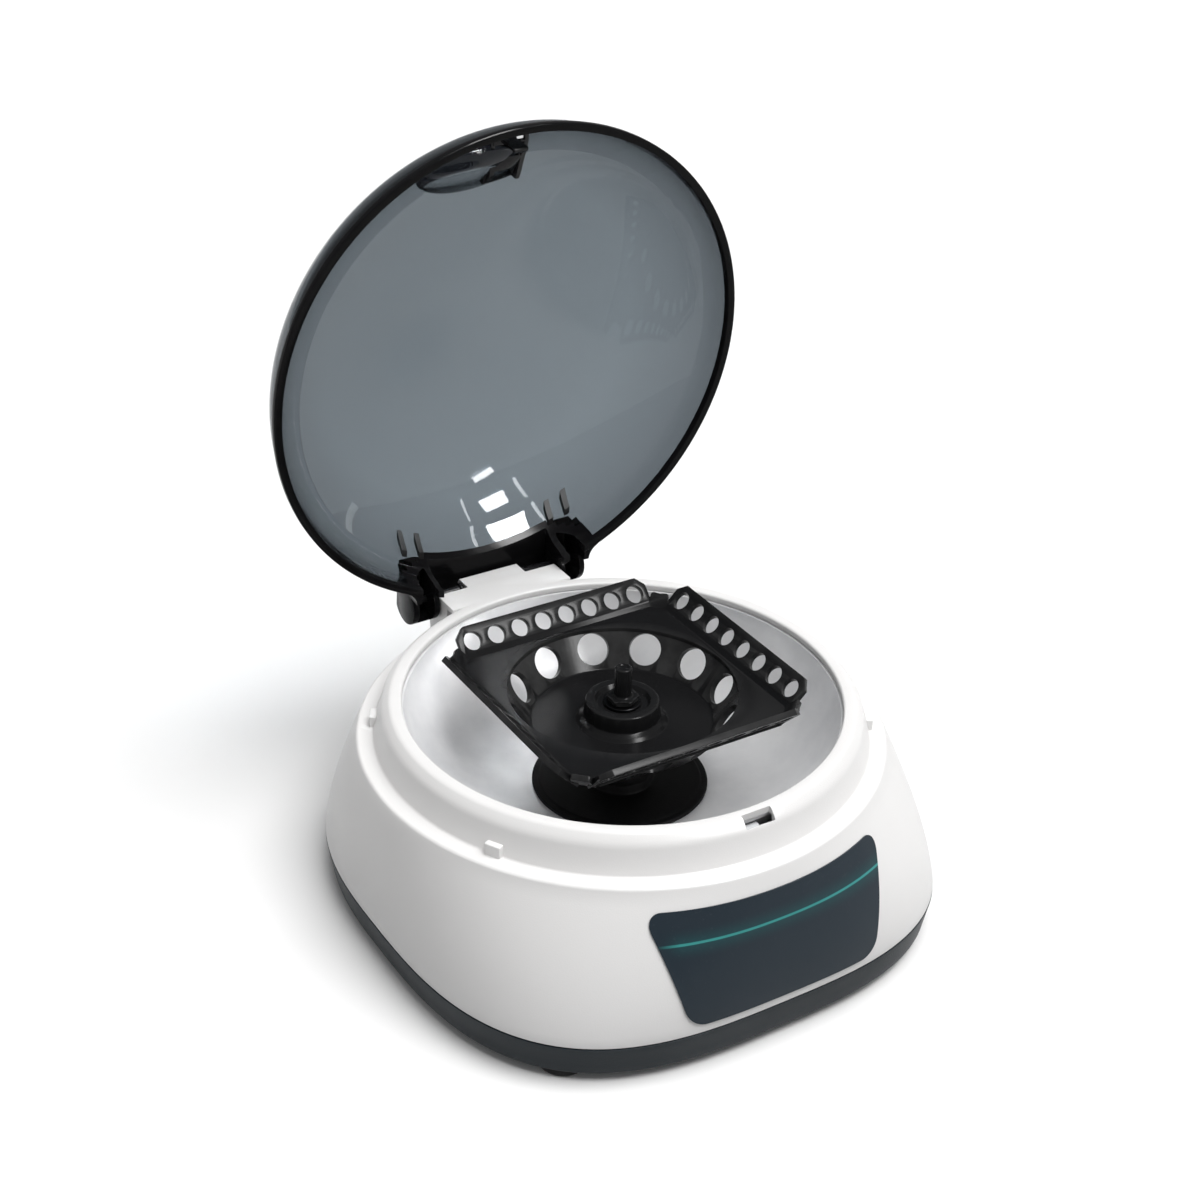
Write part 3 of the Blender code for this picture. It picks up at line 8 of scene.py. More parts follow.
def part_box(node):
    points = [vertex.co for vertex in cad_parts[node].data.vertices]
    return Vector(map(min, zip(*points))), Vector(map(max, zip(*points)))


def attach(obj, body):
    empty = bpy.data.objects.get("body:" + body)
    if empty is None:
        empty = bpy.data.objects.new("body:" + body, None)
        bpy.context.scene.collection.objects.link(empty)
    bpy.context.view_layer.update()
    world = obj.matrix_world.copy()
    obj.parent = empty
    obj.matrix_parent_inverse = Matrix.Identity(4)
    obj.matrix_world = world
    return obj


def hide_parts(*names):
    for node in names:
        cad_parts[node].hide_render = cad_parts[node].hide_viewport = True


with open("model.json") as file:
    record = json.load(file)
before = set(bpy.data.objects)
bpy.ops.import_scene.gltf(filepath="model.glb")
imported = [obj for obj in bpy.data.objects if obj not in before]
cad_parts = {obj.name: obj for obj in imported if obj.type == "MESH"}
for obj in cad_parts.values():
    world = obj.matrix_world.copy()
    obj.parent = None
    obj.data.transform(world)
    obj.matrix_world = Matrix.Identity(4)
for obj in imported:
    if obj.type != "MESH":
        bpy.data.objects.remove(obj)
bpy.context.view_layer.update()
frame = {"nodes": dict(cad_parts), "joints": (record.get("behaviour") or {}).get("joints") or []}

nodes = frame["nodes"]
jointPlaces = {joint["name"]: Vector(joint["pos_m"]) for joint in frame["joints"]}

# The case's own sizes, read from the frame
caseLow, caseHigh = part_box("upper_shell")
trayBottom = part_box("base_tray")[0].z
panelLow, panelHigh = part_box("front_panel")
discLow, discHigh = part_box("chamber_seal")
nutLow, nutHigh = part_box("rotor_nut")
axisY = (discLow.y + discHigh.y) / 2  # everything round stands on this axis
halfWidth = caseHigh.x
caseFront = axisY - caseLow.y
caseBack = halfWidth
caseBottom = caseLow.z
collarTop = caseHigh.z
hingeY = jointPlaces["lid_hinge"].y - axisY
hingeZ = jointPlaces["lid_hinge"].z
mergeDistance = 0.000002
fitGap = 0.0003  # between pieces that only touch
overrun = 0.002  # how far a cutting tool goes past what it cuts
cutDepth = 0.02


# Camera, from a fit of some thirty points of the photograph
cameraView = dict(
    azimuth=-33.12154, elevation=31.40661, distance=0.648112, height=0.09, lens=61.187,
    turnX=0.69175, turnY=1.17056, roll=2.06391, sensor=36, nearClip=0.01,
)


def addCamera():
    view = cameraView
    azimuth, elevation = radians(view["azimuth"]), radians(view["elevation"])
    back = Vector((sin(azimuth) * cos(elevation), -cos(azimuth) * cos(elevation), sin(elevation)))
    right = Vector((cos(azimuth), sin(azimuth), 0))
    up = back.cross(right)
    look = Matrix((right, up, back)).transposed().to_4x4()
    tilt = Matrix.Rotation(radians(view["roll"]), 4, "Z")
    tilt = tilt @ Matrix.Rotation(radians(view["turnY"]), 4, "X")
    tilt = tilt @ Matrix.Rotation(radians(view["turnX"]), 4, "Y")
    place = Vector((0, axisY, view["height"])) + back * view["distance"]
    data = bpy.data.cameras.new("photo camera")
    data.lens = view["lens"]
    data.sensor_width = view["sensor"]
    data.sensor_fit = "HORIZONTAL"
    data.clip_start = view["nearClip"]
    camera = bpy.data.objects.new("photo camera", data)
    bpy.context.scene.collection.objects.link(camera)
    camera.matrix_world = Matrix.Translation(place) @ look @ tilt
    bpy.context.scene.camera = camera


addCamera()


# Small modelling helpers
def deselectAll():
    if bpy.context.object and bpy.context.object.mode != "OBJECT":
        bpy.ops.object.mode_set(mode="OBJECT")
    bpy.ops.object.select_all(action="DESELECT")


def activate(piece):
    deselectAll()
    piece.select_set(True)
    bpy.context.view_layer.objects.active = piece
    return piece


def named(name):
    piece = bpy.context.object
    piece.name = name
    piece.data.name = name
    return piece


def editAll(piece):
    activate(piece)
    bpy.ops.object.mode_set(mode="EDIT")
    bpy.ops.mesh.select_all(action="SELECT")


def closeUp(piece):
    editAll(piece)
    bpy.ops.mesh.remove_doubles(threshold=mergeDistance)
    bpy.ops.mesh.delete_loose()
    bpy.ops.mesh.select_all(action="SELECT")
    bpy.ops.mesh.normals_make_consistent(inside=False)
    bpy.ops.object.mode_set(mode="OBJECT")
    return piece


def applied(piece, kind, **settings):
    activate(piece)
    modifier = piece.modifiers.new(kind.lower(), kind)
    for key, value in settings.items():
        setattr(modifier, key, value)
    bpy.ops.object.modifier_apply(modifier=modifier.name)
    return piece


def softened(piece, width, segments=2, angle=30):
    return applied(
        piece, "BEVEL", width=width, segments=segments, limit_method="ANGLE",
        angle_limit=radians(angle),
    )


def carved(piece, *tools, operation="DIFFERENCE"):
    for tool in tools:
        applied(piece, "BOOLEAN", operation=operation, object=tool, solver="EXACT")
        bpy.data.objects.remove(tool, do_unlink=True)
    return piece


def joined(piece, *others):
    return carved(piece, *others, operation="UNION")


def gathered(pieces):
    deselectAll()
    for piece in pieces:
        piece.select_set(True)
    bpy.context.view_layer.objects.active = pieces[0]
    bpy.ops.object.join()
    return bpy.context.object


def moved(piece, matrix):
    piece.data.transform(matrix)
    return piece


def roundBox(name, low, high, edge=0.0, segments=2):
    deselectAll()
    middle = [(a + b) / 2 for a, b in zip(low, high)]
    size = [b - a for a, b in zip(low, high)]
    bpy.ops.mesh.primitive_cube_add(size=1, location=middle, scale=size)
    piece = named(name)
    bpy.ops.object.transform_apply()
    if edge:
        softened(piece, edge, segments)
    return piece


def spun(name, outline, steps):
    deselectAll()
    bpy.ops.mesh.primitive_circle_add(vertices=len(outline), radius=1)
    piece = named(name)
    for vertex, (radius, height) in zip(piece.data.vertices, outline):
        vertex.co = (radius, 0, height)
    editAll(piece)
    bpy.ops.mesh.spin(steps=steps, angle=2 * pi, center=(0, 0, 0), axis=(0, 0, 1))
    return closeUp(piece)


def slab(name, outline, thickness, edge=0.0, segments=2):
    deselectAll()
    bpy.ops.mesh.primitive_circle_add(vertices=len(outline), radius=1, fill_type="NGON")
    piece = named(name)
    for vertex, (x, y) in zip(piece.data.vertices, outline):
        vertex.co = (x, y, -thickness / 2)
    editAll(piece)
    bpy.ops.mesh.extrude_region_move(TRANSFORM_OT_translate={"value": (0, 0, thickness)})
    closeUp(piece)
    if edge:
        softened(piece, edge, segments)
    return piece


def rod(name, radius, low, high, steps=48, edge=0.0):
    deselectAll()
    bpy.ops.mesh.primitive_cylinder_add(
        vertices=steps, radius=radius, depth=high - low, location=(0, 0, (low + high) / 2)
    )
    piece = named(name)
    bpy.ops.object.transform_apply()
    if edge:
        softened(piece, edge)
    return piece


def skin(name, across, along, place):
    deselectAll()
    bpy.ops.mesh.primitive_grid_add(x_subdivisions=across, y_subdivisions=along, size=2)
    piece = named(name)
    for vertex in piece.data.vertices:
        column = round((vertex.co.x + 1) / 2 * across)
        row = round((vertex.co.y + 1) / 2 * along)
        vertex.co = place(column, row)
    return piece


def filleted(corners, steps=4):
    points = []
    count = len(corners)
    for i, (x, y, radius) in enumerate(corners):
        here = Vector((x, y))
        before = Vector(corners[i - 1][:2]) - here
        after = Vector(corners[(i + 1) % count][:2]) - here
        if not radius:
            points.append((x, y))
            continue
        before.normalize()
        after.normalize()
        half = acos(max(-1, min(1, before.dot(after)))) / 2
        centre = here + (before + after).normalized() * radius / sin(half)
        start = here + before * radius / tan(half) - centre
        end = here + after * radius / tan(half) - centre
        turn = start.angle_signed(end)
        for j in range(steps + 1):
            spoke = Matrix.Rotation(-turn * j / steps, 2) @ start
            points.append(tuple(centre + spoke))
    return points


def arc(centre, radius, start, end, steps):
    angles = [start + (end - start) * i / steps for i in range(steps + 1)]
    return [(centre[0] + radius * cos(angle), centre[1] + radius * sin(angle)) for angle in angles]


def standAcross(middle):
    return Matrix(((0, 0, 1, middle), (1, 0, 0, 0), (0, 1, 0, 0), (0, 0, 0, 1)))


def sideSlab(name, outline, left, right, edge=0.0):
    return moved(slab(name, outline, right - left, edge), standAcross((left + right) / 2))


def layAlongX(y, z):
    return Matrix.Translation((0, y, z)) @ Matrix.Rotation(pi / 2, 4, "Y")


def layAlongY(x, z):
    return Matrix.Translation((x, 0, z)) @ Matrix.Rotation(pi / 2, 4, "X")


def settled(piece, body, slotName, material, *replaced, matrix=None, angle=32):
    if matrix:
        moved(piece, matrix)
    moved(piece, Matrix.Translation((0, axisY, 0)))
    indices = [polygon.material_index for polygon in piece.data.polygons]
    piece.data.materials.clear()
    for each in material if isinstance(material, list) else [material]:
        piece.data.materials.append(each)
    if isinstance(material, list):
        for polygon, index in zip(piece.data.polygons, indices):
            polygon.material_index = index
    activate(piece)
    bpy.ops.object.shade_smooth_by_angle(angle=radians(angle))
    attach(piece, body)
    if replaced:
        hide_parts(*replaced)
    return piece


def cadCopy(name, node):
    deselectAll()
    piece = nodes[node].copy()
    piece.data = nodes[node].data.copy()
    piece.parent = None
    piece.name = name
    for key in list(piece.keys()):
        del piece[key]
    bpy.context.scene.collection.objects.link(piece)
    closeUp(piece)
    editAll(piece)
    bpy.ops.mesh.dissolve_limited(angle_limit=radians(1))
    bpy.ops.object.mode_set(mode="OBJECT")
    return moved(piece, Matrix.Translation((0, -axisY, 0)))


# Shared effects, each a node group that gives a value or a mask
def effectGroup(name, inputs, outputs):
    group = bpy.data.node_groups.new(name, "ShaderNodeTree")
    for label, value in inputs.items():
        kind = "NodeSocketVector" if value is None else "NodeSocketFloat"
        socket = group.interface.new_socket(name=label, in_out="INPUT", socket_type=kind)
        if value is not None:
            socket.default_value = value
    for label in outputs:
        group.interface.new_socket(name=label, in_out="OUTPUT", socket_type="NodeSocketFloat")
    start = group.nodes.new("NodeGroupInput")
    end = group.nodes.new("NodeGroupOutput")
    return group, start, end


def addNode(tree, kind, inputs=None, **settings):
    node = tree.nodes.new(kind)
    for key, value in settings.items():
        setattr(node, key, value)
    for key, value in (inputs or {}).items():
        if isinstance(value, bpy.types.NodeSocket):
            tree.links.new(value, node.inputs[key])
        else:
            node.inputs[key].default_value = value
    return node


def math(tree, operation, first, second=0.0, clamp=False):
    node = addNode(tree, "ShaderNodeMath", {0: first, 1: second}, operation=operation)
    node.use_clamp = clamp
    return node.outputs[0]


def ramp(tree, value, low, high, fromLow=0.0, fromHigh=1.0):
    limits = {"From Min": fromLow, "From Max": fromHigh, "To Min": low, "To Max": high}
    return addNode(tree, "ShaderNodeMapRange", {"Value": value, **limits}).outputs[0]


def noise(tree, place, scale, detail=2.0, roughness=0.5, stretch=None):
    if stretch:
        place = addNode(tree, "ShaderNodeMapping", {"Vector": place, "Scale": stretch}).outputs[0]
    settings = {"Vector": place, "Scale": scale, "Detail": detail, "Roughness": roughness}
    return addNode(tree, "ShaderNodeTexNoise", settings).outputs[0]


def makeGrain():
    # the fine spark-eroded skin of a moulded part, with a slow change of sheen over it
    group, start, end = effectGroup("mouldedGrain", {"Place": None, "Scale": 2600.0}, ["Height", "Sheen"])
    place, scale = start.outputs["Place"], start.outputs["Scale"]
    fine = noise(group, place, scale, 3.0, 0.65)
    cells = addNode(group, "ShaderNodeTexVoronoi", {"Vector": place, "Scale": scale})
    pits = ramp(group, cells.outputs["Distance"], 0.0, 1.0, 0.1, 0.7)
    height = math(group, "ADD", math(group, "MULTIPLY", fine, 0.7), math(group, "MULTIPLY", pits, 0.3))
    group.links.new(height, end.inputs["Height"])
    group.links.new(noise(group, place, 26.0, 4.0, 0.6), end.inputs["Sheen"])
    return group


def makeWear():
    # edges that hands and cloths have rubbed
    group, start, end = effectGroup("edgeWear", {"Place": None, "Reach": 0.06, "Patches": 120.0}, ["Mask"])
    shape = addNode(group, "ShaderNodeNewGeometry").outputs["Pointiness"]
    top = math(group, "ADD", start.outputs["Reach"], 0.5)
    edge = ramp(group, shape, 0.0, 1.0, 0.505, top)
    cloud = noise(group, start.outputs["Place"], start.outputs["Patches"], 4.0)
    patches = ramp(group, cloud, 0.25, 1.0, 0.35, 0.7)
    group.links.new(math(group, "MULTIPLY", edge, patches, True), end.inputs["Mask"])
    return group


def makeDust():
    # pale dust on faces that look up, thicker in patches
    group, start, end = effectGroup("lyingDust", {"Place": None, "Amount": 0.3}, ["Mask"])
    normal = addNode(group, "ShaderNodeNewGeometry").outputs["Normal"]
    up = addNode(group, "ShaderNodeSeparateXYZ", {0: normal}).outputs["Z"]
    facing = ramp(group, up, 0.0, 1.0, 0.2, 0.95)
    cloud = ramp(group, noise(group, start.outputs["Place"], 34.0, 5.0, 0.6), 0.0, 1.0, 0.42, 0.75)
    specks = ramp(group, noise(group, start.outputs["Place"], 900.0, 1.0), 0.0, 1.0, 0.66, 0.76)
    both = math(group, "ADD", math(group, "MULTIPLY", cloud, 0.5), specks)
    mask = math(group, "MULTIPLY", math(group, "MULTIPLY", facing, both), start.outputs["Amount"], True)
    group.links.new(mask, end.inputs["Mask"])
    return group


def makeTurning():
    # fine rings that a lathe leaves round the Z axis
    group, start, end = effectGroup("latheRings", {"Place": None, "Pitch": 0.00018}, ["Height", "Sheen"])
    parts = addNode(group, "ShaderNodeSeparateXYZ", {0: start.outputs["Place"]})
    across = math(group, "POWER", parts.outputs["X"], 2.0)
    along = math(group, "POWER", parts.outputs["Y"], 2.0)
    radius = math(group, "SQRT", math(group, "ADD", across, along))
    travel = math(group, "ADD", radius, parts.outputs["Z"])
    rings = math(group, "SINE", math(group, "DIVIDE", travel, start.outputs["Pitch"]))
    wander = noise(group, start.outputs["Place"], 300.0, 2.0)
    group.links.new(math(group, "MULTIPLY", rings, wander), end.inputs["Height"])
    group.links.new(noise(group, start.outputs["Place"], 60.0, 4.0), end.inputs["Sheen"])
    return group


grainGroup = makeGrain()
wearGroup = makeWear()
dustGroup = makeDust()
turningGroup = makeTurning()


# Finishes
def newFinish(name, roughness=0.4, metallic=0.0, **shaderValues):
    material = bpy.data.materials.new(name)
    material.use_nodes = True
    tree = material.node_tree
    shader = tree.nodes["Principled BSDF"]
    shader.inputs["Roughness"].default_value = roughness
    shader.inputs["Metallic"].default_value = metallic
    for key, value in shaderValues.items():
        shader.inputs[key.replace("_", " ")].default_value = value
    texture = addNode(tree, "ShaderNodeTexCoord").outputs["Object"]
    centred = addNode(tree, "ShaderNodeMapping", {"Vector": texture, "Location": (0, -axisY, 0)})
    return material, tree, shader, centred.outputs[0]


def groupNode(tree, group, place, **inputs):
    node = addNode(tree, "ShaderNodeGroup", node_tree=group)
    tree.links.new(place, node.inputs["Place"])
    for key, value in inputs.items():
        node.inputs[key].default_value = value
    return node


def mixed(tree, mask, first, second):
    node = addNode(tree, "ShaderNodeMix", data_type="RGBA")
    for key, value in ((0, mask), (6, first), (7, second)):
        if isinstance(value, bpy.types.NodeSocket):
            tree.links.new(value, node.inputs[key])
        else:
            node.inputs[key].default_value = value if key == 0 else (*value, 1)
    return node.outputs[2]


def bumped(tree, shader, height, distance, strength=1.0):
    settings = {"Height": height, "Distance": distance, "Strength": strength}
    tree.links.new(addNode(tree, "ShaderNodeBump", settings).outputs[0], shader.inputs["Normal"])


def mouldedPlastic(name, look):
    material, tree, shader, place = newFinish(name, look["roughness"], **look.get("shader", {}))
    grain = groupNode(tree, grainGroup, place, Scale=look["grainScale"])
    wear = groupNode(tree, wearGroup, place, Reach=look.get("wearReach", 0.06))
    dust = groupNode(tree, dustGroup, place, Amount=look.get("dust", 0.1))
    base = mixed(tree, grain.outputs["Sheen"], look["colour"], look["shade"])
    worn = math(tree, "MULTIPLY", wear.outputs["Mask"], look["wear"])
    rubbed = mixed(tree, worn, base, look["worn"])
    colour = mixed(tree, dust.outputs["Mask"], rubbed, look.get("dustColour", (0.55, 0.54, 0.52)))
    tree.links.new(colour, shader.inputs["Base Color"])
    middle, spread = look["roughness"], look.get("sheenSpread", 0.06)
    sheen = ramp(tree, grain.outputs["Sheen"], middle - spread, middle + spread, 0.3, 0.7)
    rough = math(tree, "ADD", sheen, math(tree, "MULTIPLY", dust.outputs["Mask"], 0.3))
    tree.links.new(rough, shader.inputs["Roughness"])
    bumped(tree, shader, grain.outputs["Height"], look["grainDepth"])
    return material


caseWhite = mouldedPlastic("caseWhite", dict(
    colour=(0.70, 0.692, 0.685), shade=(0.675, 0.667, 0.660), worn=(0.84, 0.84, 0.84), wear=0.5,
    roughness=0.36, grainScale=2400.0, grainDepth=0.00003, dust=0.03,
    shader={"Specular_IOR_Level": 0.5},
))
traySlate = mouldedPlastic("traySlate", dict(
    colour=(0.010, 0.015, 0.019), shade=(0.007, 0.012, 0.016), worn=(0.06, 0.07, 0.08), wear=0.6,
    roughness=0.46, grainScale=1800.0, grainDepth=0.00006, dust=0.05, dustColour=(0.16, 0.16, 0.16),
    shader={"Specular_IOR_Level": 0.20},
))
blackPlastic = mouldedPlastic("blackPlastic", dict(
    colour=(0.016, 0.016, 0.018), shade=(0.022, 0.022, 0.024), worn=(0.07, 0.07, 0.07), wear=0.5,
    roughness=0.38, grainScale=2200.0, grainDepth=0.00004, dust=0.12, dustColour=(0.16, 0.16, 0.16),
))
footRubber = mouldedPlastic("footRubber", dict(
    colour=(0.008, 0.008, 0.009), shade=(0.013, 0.013, 0.014), worn=(0.04, 0.04, 0.04), wear=0.8,
    roughness=0.72, grainScale=1300.0, grainDepth=0.00010, dust=0.15, dustColour=(0.14, 0.13, 0.12),
    shader={"Specular_IOR_Level": 0.25},
))
discRubber = mouldedPlastic("discRubber", dict(
    colour=(0.0018, 0.0018, 0.002), shade=(0.003, 0.003, 0.0033), worn=(0.02, 0.02, 0.02), wear=0.3,
    roughness=0.58, grainScale=1500.0, grainDepth=0.00006, dust=0.02, dustColour=(0.05, 0.05, 0.05),
    shader={"Specular_IOR_Level": 0.10},
))
catchGrey = mouldedPlastic("catchGrey", dict(
    colour=(0.52, 0.53, 0.54), shade=(0.47, 0.48, 0.50), worn=(0.62, 0.62, 0.62), wear=0.4,
    roughness=0.42, grainScale=2200.0, grainDepth=0.00003, dust=0.05,
))
rotorBlack = mouldedPlastic("rotorBlack", dict(
    colour=(0.0055, 0.0055, 0.0058), shade=(0.0085, 0.0085, 0.009), worn=(0.045, 0.045, 0.045), wear=0.6,
    roughness=0.22, grainScale=900.0, grainDepth=0.000006, dust=0.03, dustColour=(0.08, 0.08, 0.08),
    sheenSpread=0.05, shader={"Specular_IOR_Level": 0.15},
))
hingeDark = mouldedPlastic("hingeDark", dict(
    colour=(0.0045, 0.0045, 0.005), shade=(0.008, 0.008, 0.009), worn=(0.05, 0.05, 0.05), wear=0.3,
    roughness=0.24, grainScale=1500.0, grainDepth=0.00001, dust=0.03, dustColour=(0.08, 0.08, 0.08),
    shader={"Specular_IOR_Level": 0.18},
))


metalDust = (0.42, 0.41, 0.40)


def satinMetal(name, look):
    material, tree, shader, place = newFinish(name, look["roughness"], look.get("metallic", 1.0))
    turning = groupNode(tree, turningGroup, place, Pitch=look["pitch"])
    dust = groupNode(tree, dustGroup, place, Amount=look.get("dust", 0.1))
    blotch = noise(tree, place, look["blotchScale"], 5.0, 0.62)
    shade = ramp(tree, blotch, 0.0, 1.0, 0.34, 0.68)
    colour = mixed(tree, shade, look["colour"], look["shade"])
    dusty = mixed(tree, dust.outputs["Mask"], colour, metalDust)
    tree.links.new(dusty, shader.inputs["Base Color"])
    middle, spread = look["roughness"], look["blotchSpread"]
    tree.links.new(ramp(tree, shade, middle - spread, middle + spread), shader.inputs["Roughness"])
    bumped(tree, shader, turning.outputs["Height"], look["ringDepth"])
    return material


bowlSatin = satinMetal("bowlSatin", dict(
    colour=(0.95, 0.95, 0.955), shade=(0.80, 0.805, 0.82), roughness=0.40, blotchSpread=0.12,
    metallic=0.48, blotchScale=30.0, pitch=0.00012, ringDepth=0.000004, dust=0.06,
))
turnedSteel = satinMetal("turnedSteel", dict(
    colour=(0.62, 0.62, 0.63), shade=(0.50, 0.50, 0.51), roughness=0.28, blotchSpread=0.08,
    blotchScale=90.0, pitch=0.00008, ringDepth=0.000005, dust=0.08,
))
blackSteel = satinMetal("blackSteel", dict(
    colour=(0.045, 0.045, 0.048), shade=(0.03, 0.03, 0.032), roughness=0.30, blotchSpread=0.08,
    blotchScale=90.0, pitch=0.00008, ringDepth=0.000005, dust=0.04,
))
brightSteel = satinMetal("brightSteel", dict(
    colour=(0.70, 0.70, 0.71), shade=(0.60, 0.60, 0.61), roughness=0.20, blotchSpread=0.06,
    blotchScale=200.0, pitch=0.00005, ringDepth=0.000003, dust=0.03,
))

# The label plate: a satin film, with its teal line drawn by height
tealLine = dict(
    height=0.0435, halfWidth=0.00026, glow=0.0046, leftEnd=-0.0405, fade=0.0065,
    teal=(0.036, 0.235, 0.222), glowTeal=(0.010, 0.048, 0.055), glowPower=1.6, edgeShare=1.7,
)
labelLook = dict(
    film=(0.010, 0.018, 0.026), shade=(0.013, 0.022, 0.031), worn=(0.11, 0.12, 0.13), dust=(0.22, 0.22, 0.22),
)


def labelFinish():
    line = tealLine
    material, tree, shader, place = newFinish("labelFilm", 0.34, Specular_IOR_Level=0.22)
    grain = groupNode(tree, grainGroup, place, Scale=3200.0)
    dust = groupNode(tree, dustGroup, place, Amount=0.10)
    wear = groupNode(tree, wearGroup, place, Reach=0.08)
    base = mixed(tree, grain.outputs["Sheen"], labelLook["film"], labelLook["shade"])
    parts = addNode(tree, "ShaderNodeSeparateXYZ", {0: place})
    away = math(tree, "ABSOLUTE", math(tree, "SUBTRACT", parts.outputs["Z"], line["height"]))
    fade = ramp(tree, parts.outputs["X"], 0.0, 1.0, line["leftEnd"], line["leftEnd"] + line["fade"])
    glow = math(tree, "MULTIPLY", ramp(tree, away, 1.0, 0.0, 0.0, line["glow"]), fade)
    inked = ramp(tree, away, 1.0, 0.0, line["halfWidth"], line["halfWidth"] * line["edgeShare"])
    core = math(tree, "MULTIPLY", inked, fade)
    colour = mixed(tree, math(tree, "POWER", glow, line["glowPower"]), base, line["glowTeal"])
    colour = mixed(tree, core, colour, line["teal"])
    rubbed = math(tree, "MULTIPLY", wear.outputs["Mask"], 0.4)
    colour = mixed(tree, rubbed, colour, labelLook["worn"])
    colour = mixed(tree, dust.outputs["Mask"], colour, labelLook["dust"])
    tree.links.new(colour, shader.inputs["Base Color"])
    tree.links.new(ramp(tree, grain.outputs["Sheen"], 0.28, 0.40, 0.3, 0.7), shader.inputs["Roughness"])
    bumped(tree, shader, grain.outputs["Height"], 0.00002)
    return material


labelFilm = labelFinish()

# The lid: smoke grey clear plastic, deeper towards its rim and where one looks along the wall, with painted
# shade on the finger recess's walls
smokeLook = dict(
    clear=(0.178, 0.209, 0.232), rim=(0.132, 0.153, 0.170), deep=(0.010, 0.012, 0.014), deepening=1.0,
    rimStart=0.060, rimEnd=0.083, roughness=0.015, ior=1.25, scratchScale=210.0, scratched=0.16,
    handling=0.05, scoopShade=(0.009, 0.011, 0.014), scoopShadeDeep=(0.003, 0.003, 0.004),
)
lidAngle = radians(84.36)
openedAt = Vector((0, hingeY, hingeZ))
closedShift = openedAt - Matrix.Rotation(lidAngle, 3, "X") @ openedAt


def smokeFinish(name, clear, rim, deep):
    look = smokeLook
    glass = dict(Transmission_Weight=1.0, IOR=look["ior"])
    material, tree, shader, place = newFinish(name, look["roughness"], **glass)
    turn = {"Vector": place, "Location": closedShift, "Rotation": (lidAngle, 0, 0)}
    closed = addNode(tree, "ShaderNodeMapping", turn).outputs[0]
    parts = addNode(tree, "ShaderNodeSeparateXYZ", {0: closed})
    squares = [math(tree, "POWER", math(tree, "ABSOLUTE", parts.outputs[axis]), 2.0) for axis in "XY"]
    reach = math(tree, "SQRT", math(tree, "ADD", *squares))
    towardsRim = ramp(tree, reach, 0.0, 1.0, look["rimStart"], look["rimEnd"])
    body = mixed(tree, towardsRim, clear, rim)
    facing = addNode(tree, "ShaderNodeLayerWeight", {"Blend": 0.5}).outputs["Facing"]
    deepened = math(tree, "POWER", facing, look["deepening"])
    tree.links.new(mixed(tree, deepened, body, deep), shader.inputs["Base Color"])
    haze = noise(tree, closed, 22.0, 5.0, 0.62)
    hairs = noise(tree, closed, look["scratchScale"], 1.0, 0.5, stretch=(1.0, 26.0, 9.0))
    lines, patches = ramp(tree, hairs, 0.0, 1.0, 0.70, 0.76), ramp(tree, haze, 0.0, 1.0, 0.5, 0.6)
    scratched = math(tree, "MULTIPLY", lines, patches)
    handled = math(tree, "MULTIPLY", ramp(tree, haze, 0.0, 1.0, 0.52, 0.72), look["handling"])
    rough = math(tree, "ADD", handled, math(tree, "MULTIPLY", scratched, look["scratched"]))
    tree.links.new(math(tree, "ADD", rough, look["roughness"]), shader.inputs["Roughness"])
    bumped(tree, shader, hairs, 0.000004, 0.2)
    return material


smokeClear = smokeFinish("smokeClear", smokeLook["clear"], smokeLook["rim"], smokeLook["deep"])
# painted shade: a near-black smoke for the walls of the finger recess, standing in for the shadow at its edge
scoopShadeSmoke = smokeFinish("scoopShadeSmoke", smokeLook["scoopShade"], smokeLook["scoopShade"], smokeLook["scoopShadeDeep"])
lidEdgeDark = mouldedPlastic("lidEdgeDark", dict(
    colour=(0.0035, 0.0035, 0.004), shade=(0.006, 0.006, 0.0065), worn=(0.03, 0.03, 0.03), wear=0.3,
    roughness=0.15, grainScale=700.0, grainDepth=0.000003, dust=0.02, dustColour=(0.06, 0.06, 0.06),
    sheenSpread=0.04, shader={"Specular_IOR_Level": 0.05},
))


ribLook = dict(low=0.085, high=0.096, dark=(0.006, 0.006, 0.006), grey=(0.085, 0.09, 0.095))


def ribFinish():
    # nearly black where a rib leaves the hinge cover, as grey as the lid at its top
    material, tree, shader, place = newFinish("ribSmoke", 0.45, Specular_IOR_Level=0.12)
    height = addNode(tree, "ShaderNodeSeparateXYZ", {0: place}).outputs["Z"]
    clearing = ramp(tree, height, 0.0, 1.0, ribLook["low"], ribLook["high"])
    cloud = noise(tree, place, 900.0, 3.0)
    share = math(tree, "MULTIPLY", clearing, ramp(tree, cloud, 0.75, 1.0), True)
    tree.links.new(mixed(tree, share, ribLook["dark"], ribLook["grey"]), shader.inputs["Base Color"])
    bumped(tree, shader, cloud, 0.000005, 0.3)
    return material


ribSmoke = ribFinish()


boardLook = {
    "Color1": (0.012, 0.10, 0.045, 1), "Color2": (0.016, 0.12, 0.055, 1), "Mortar": (0.035, 0.22, 0.09, 1),
}


def boardFinish():
    material, tree, shader, place = newFinish("boardGreen", 0.38)
    settings = {"Vector": place, "Scale": 120.0, "Mortar Size": 0.06, **boardLook}
    lines = addNode(tree, "ShaderNodeTexBrick", settings)
    tree.links.new(lines.outputs["Color"], shader.inputs["Base Color"])
    bumped(tree, shader, lines.outputs["Fac"], 0.00003)
    return material


boardGreen = boardFinish()
print("finishes made")


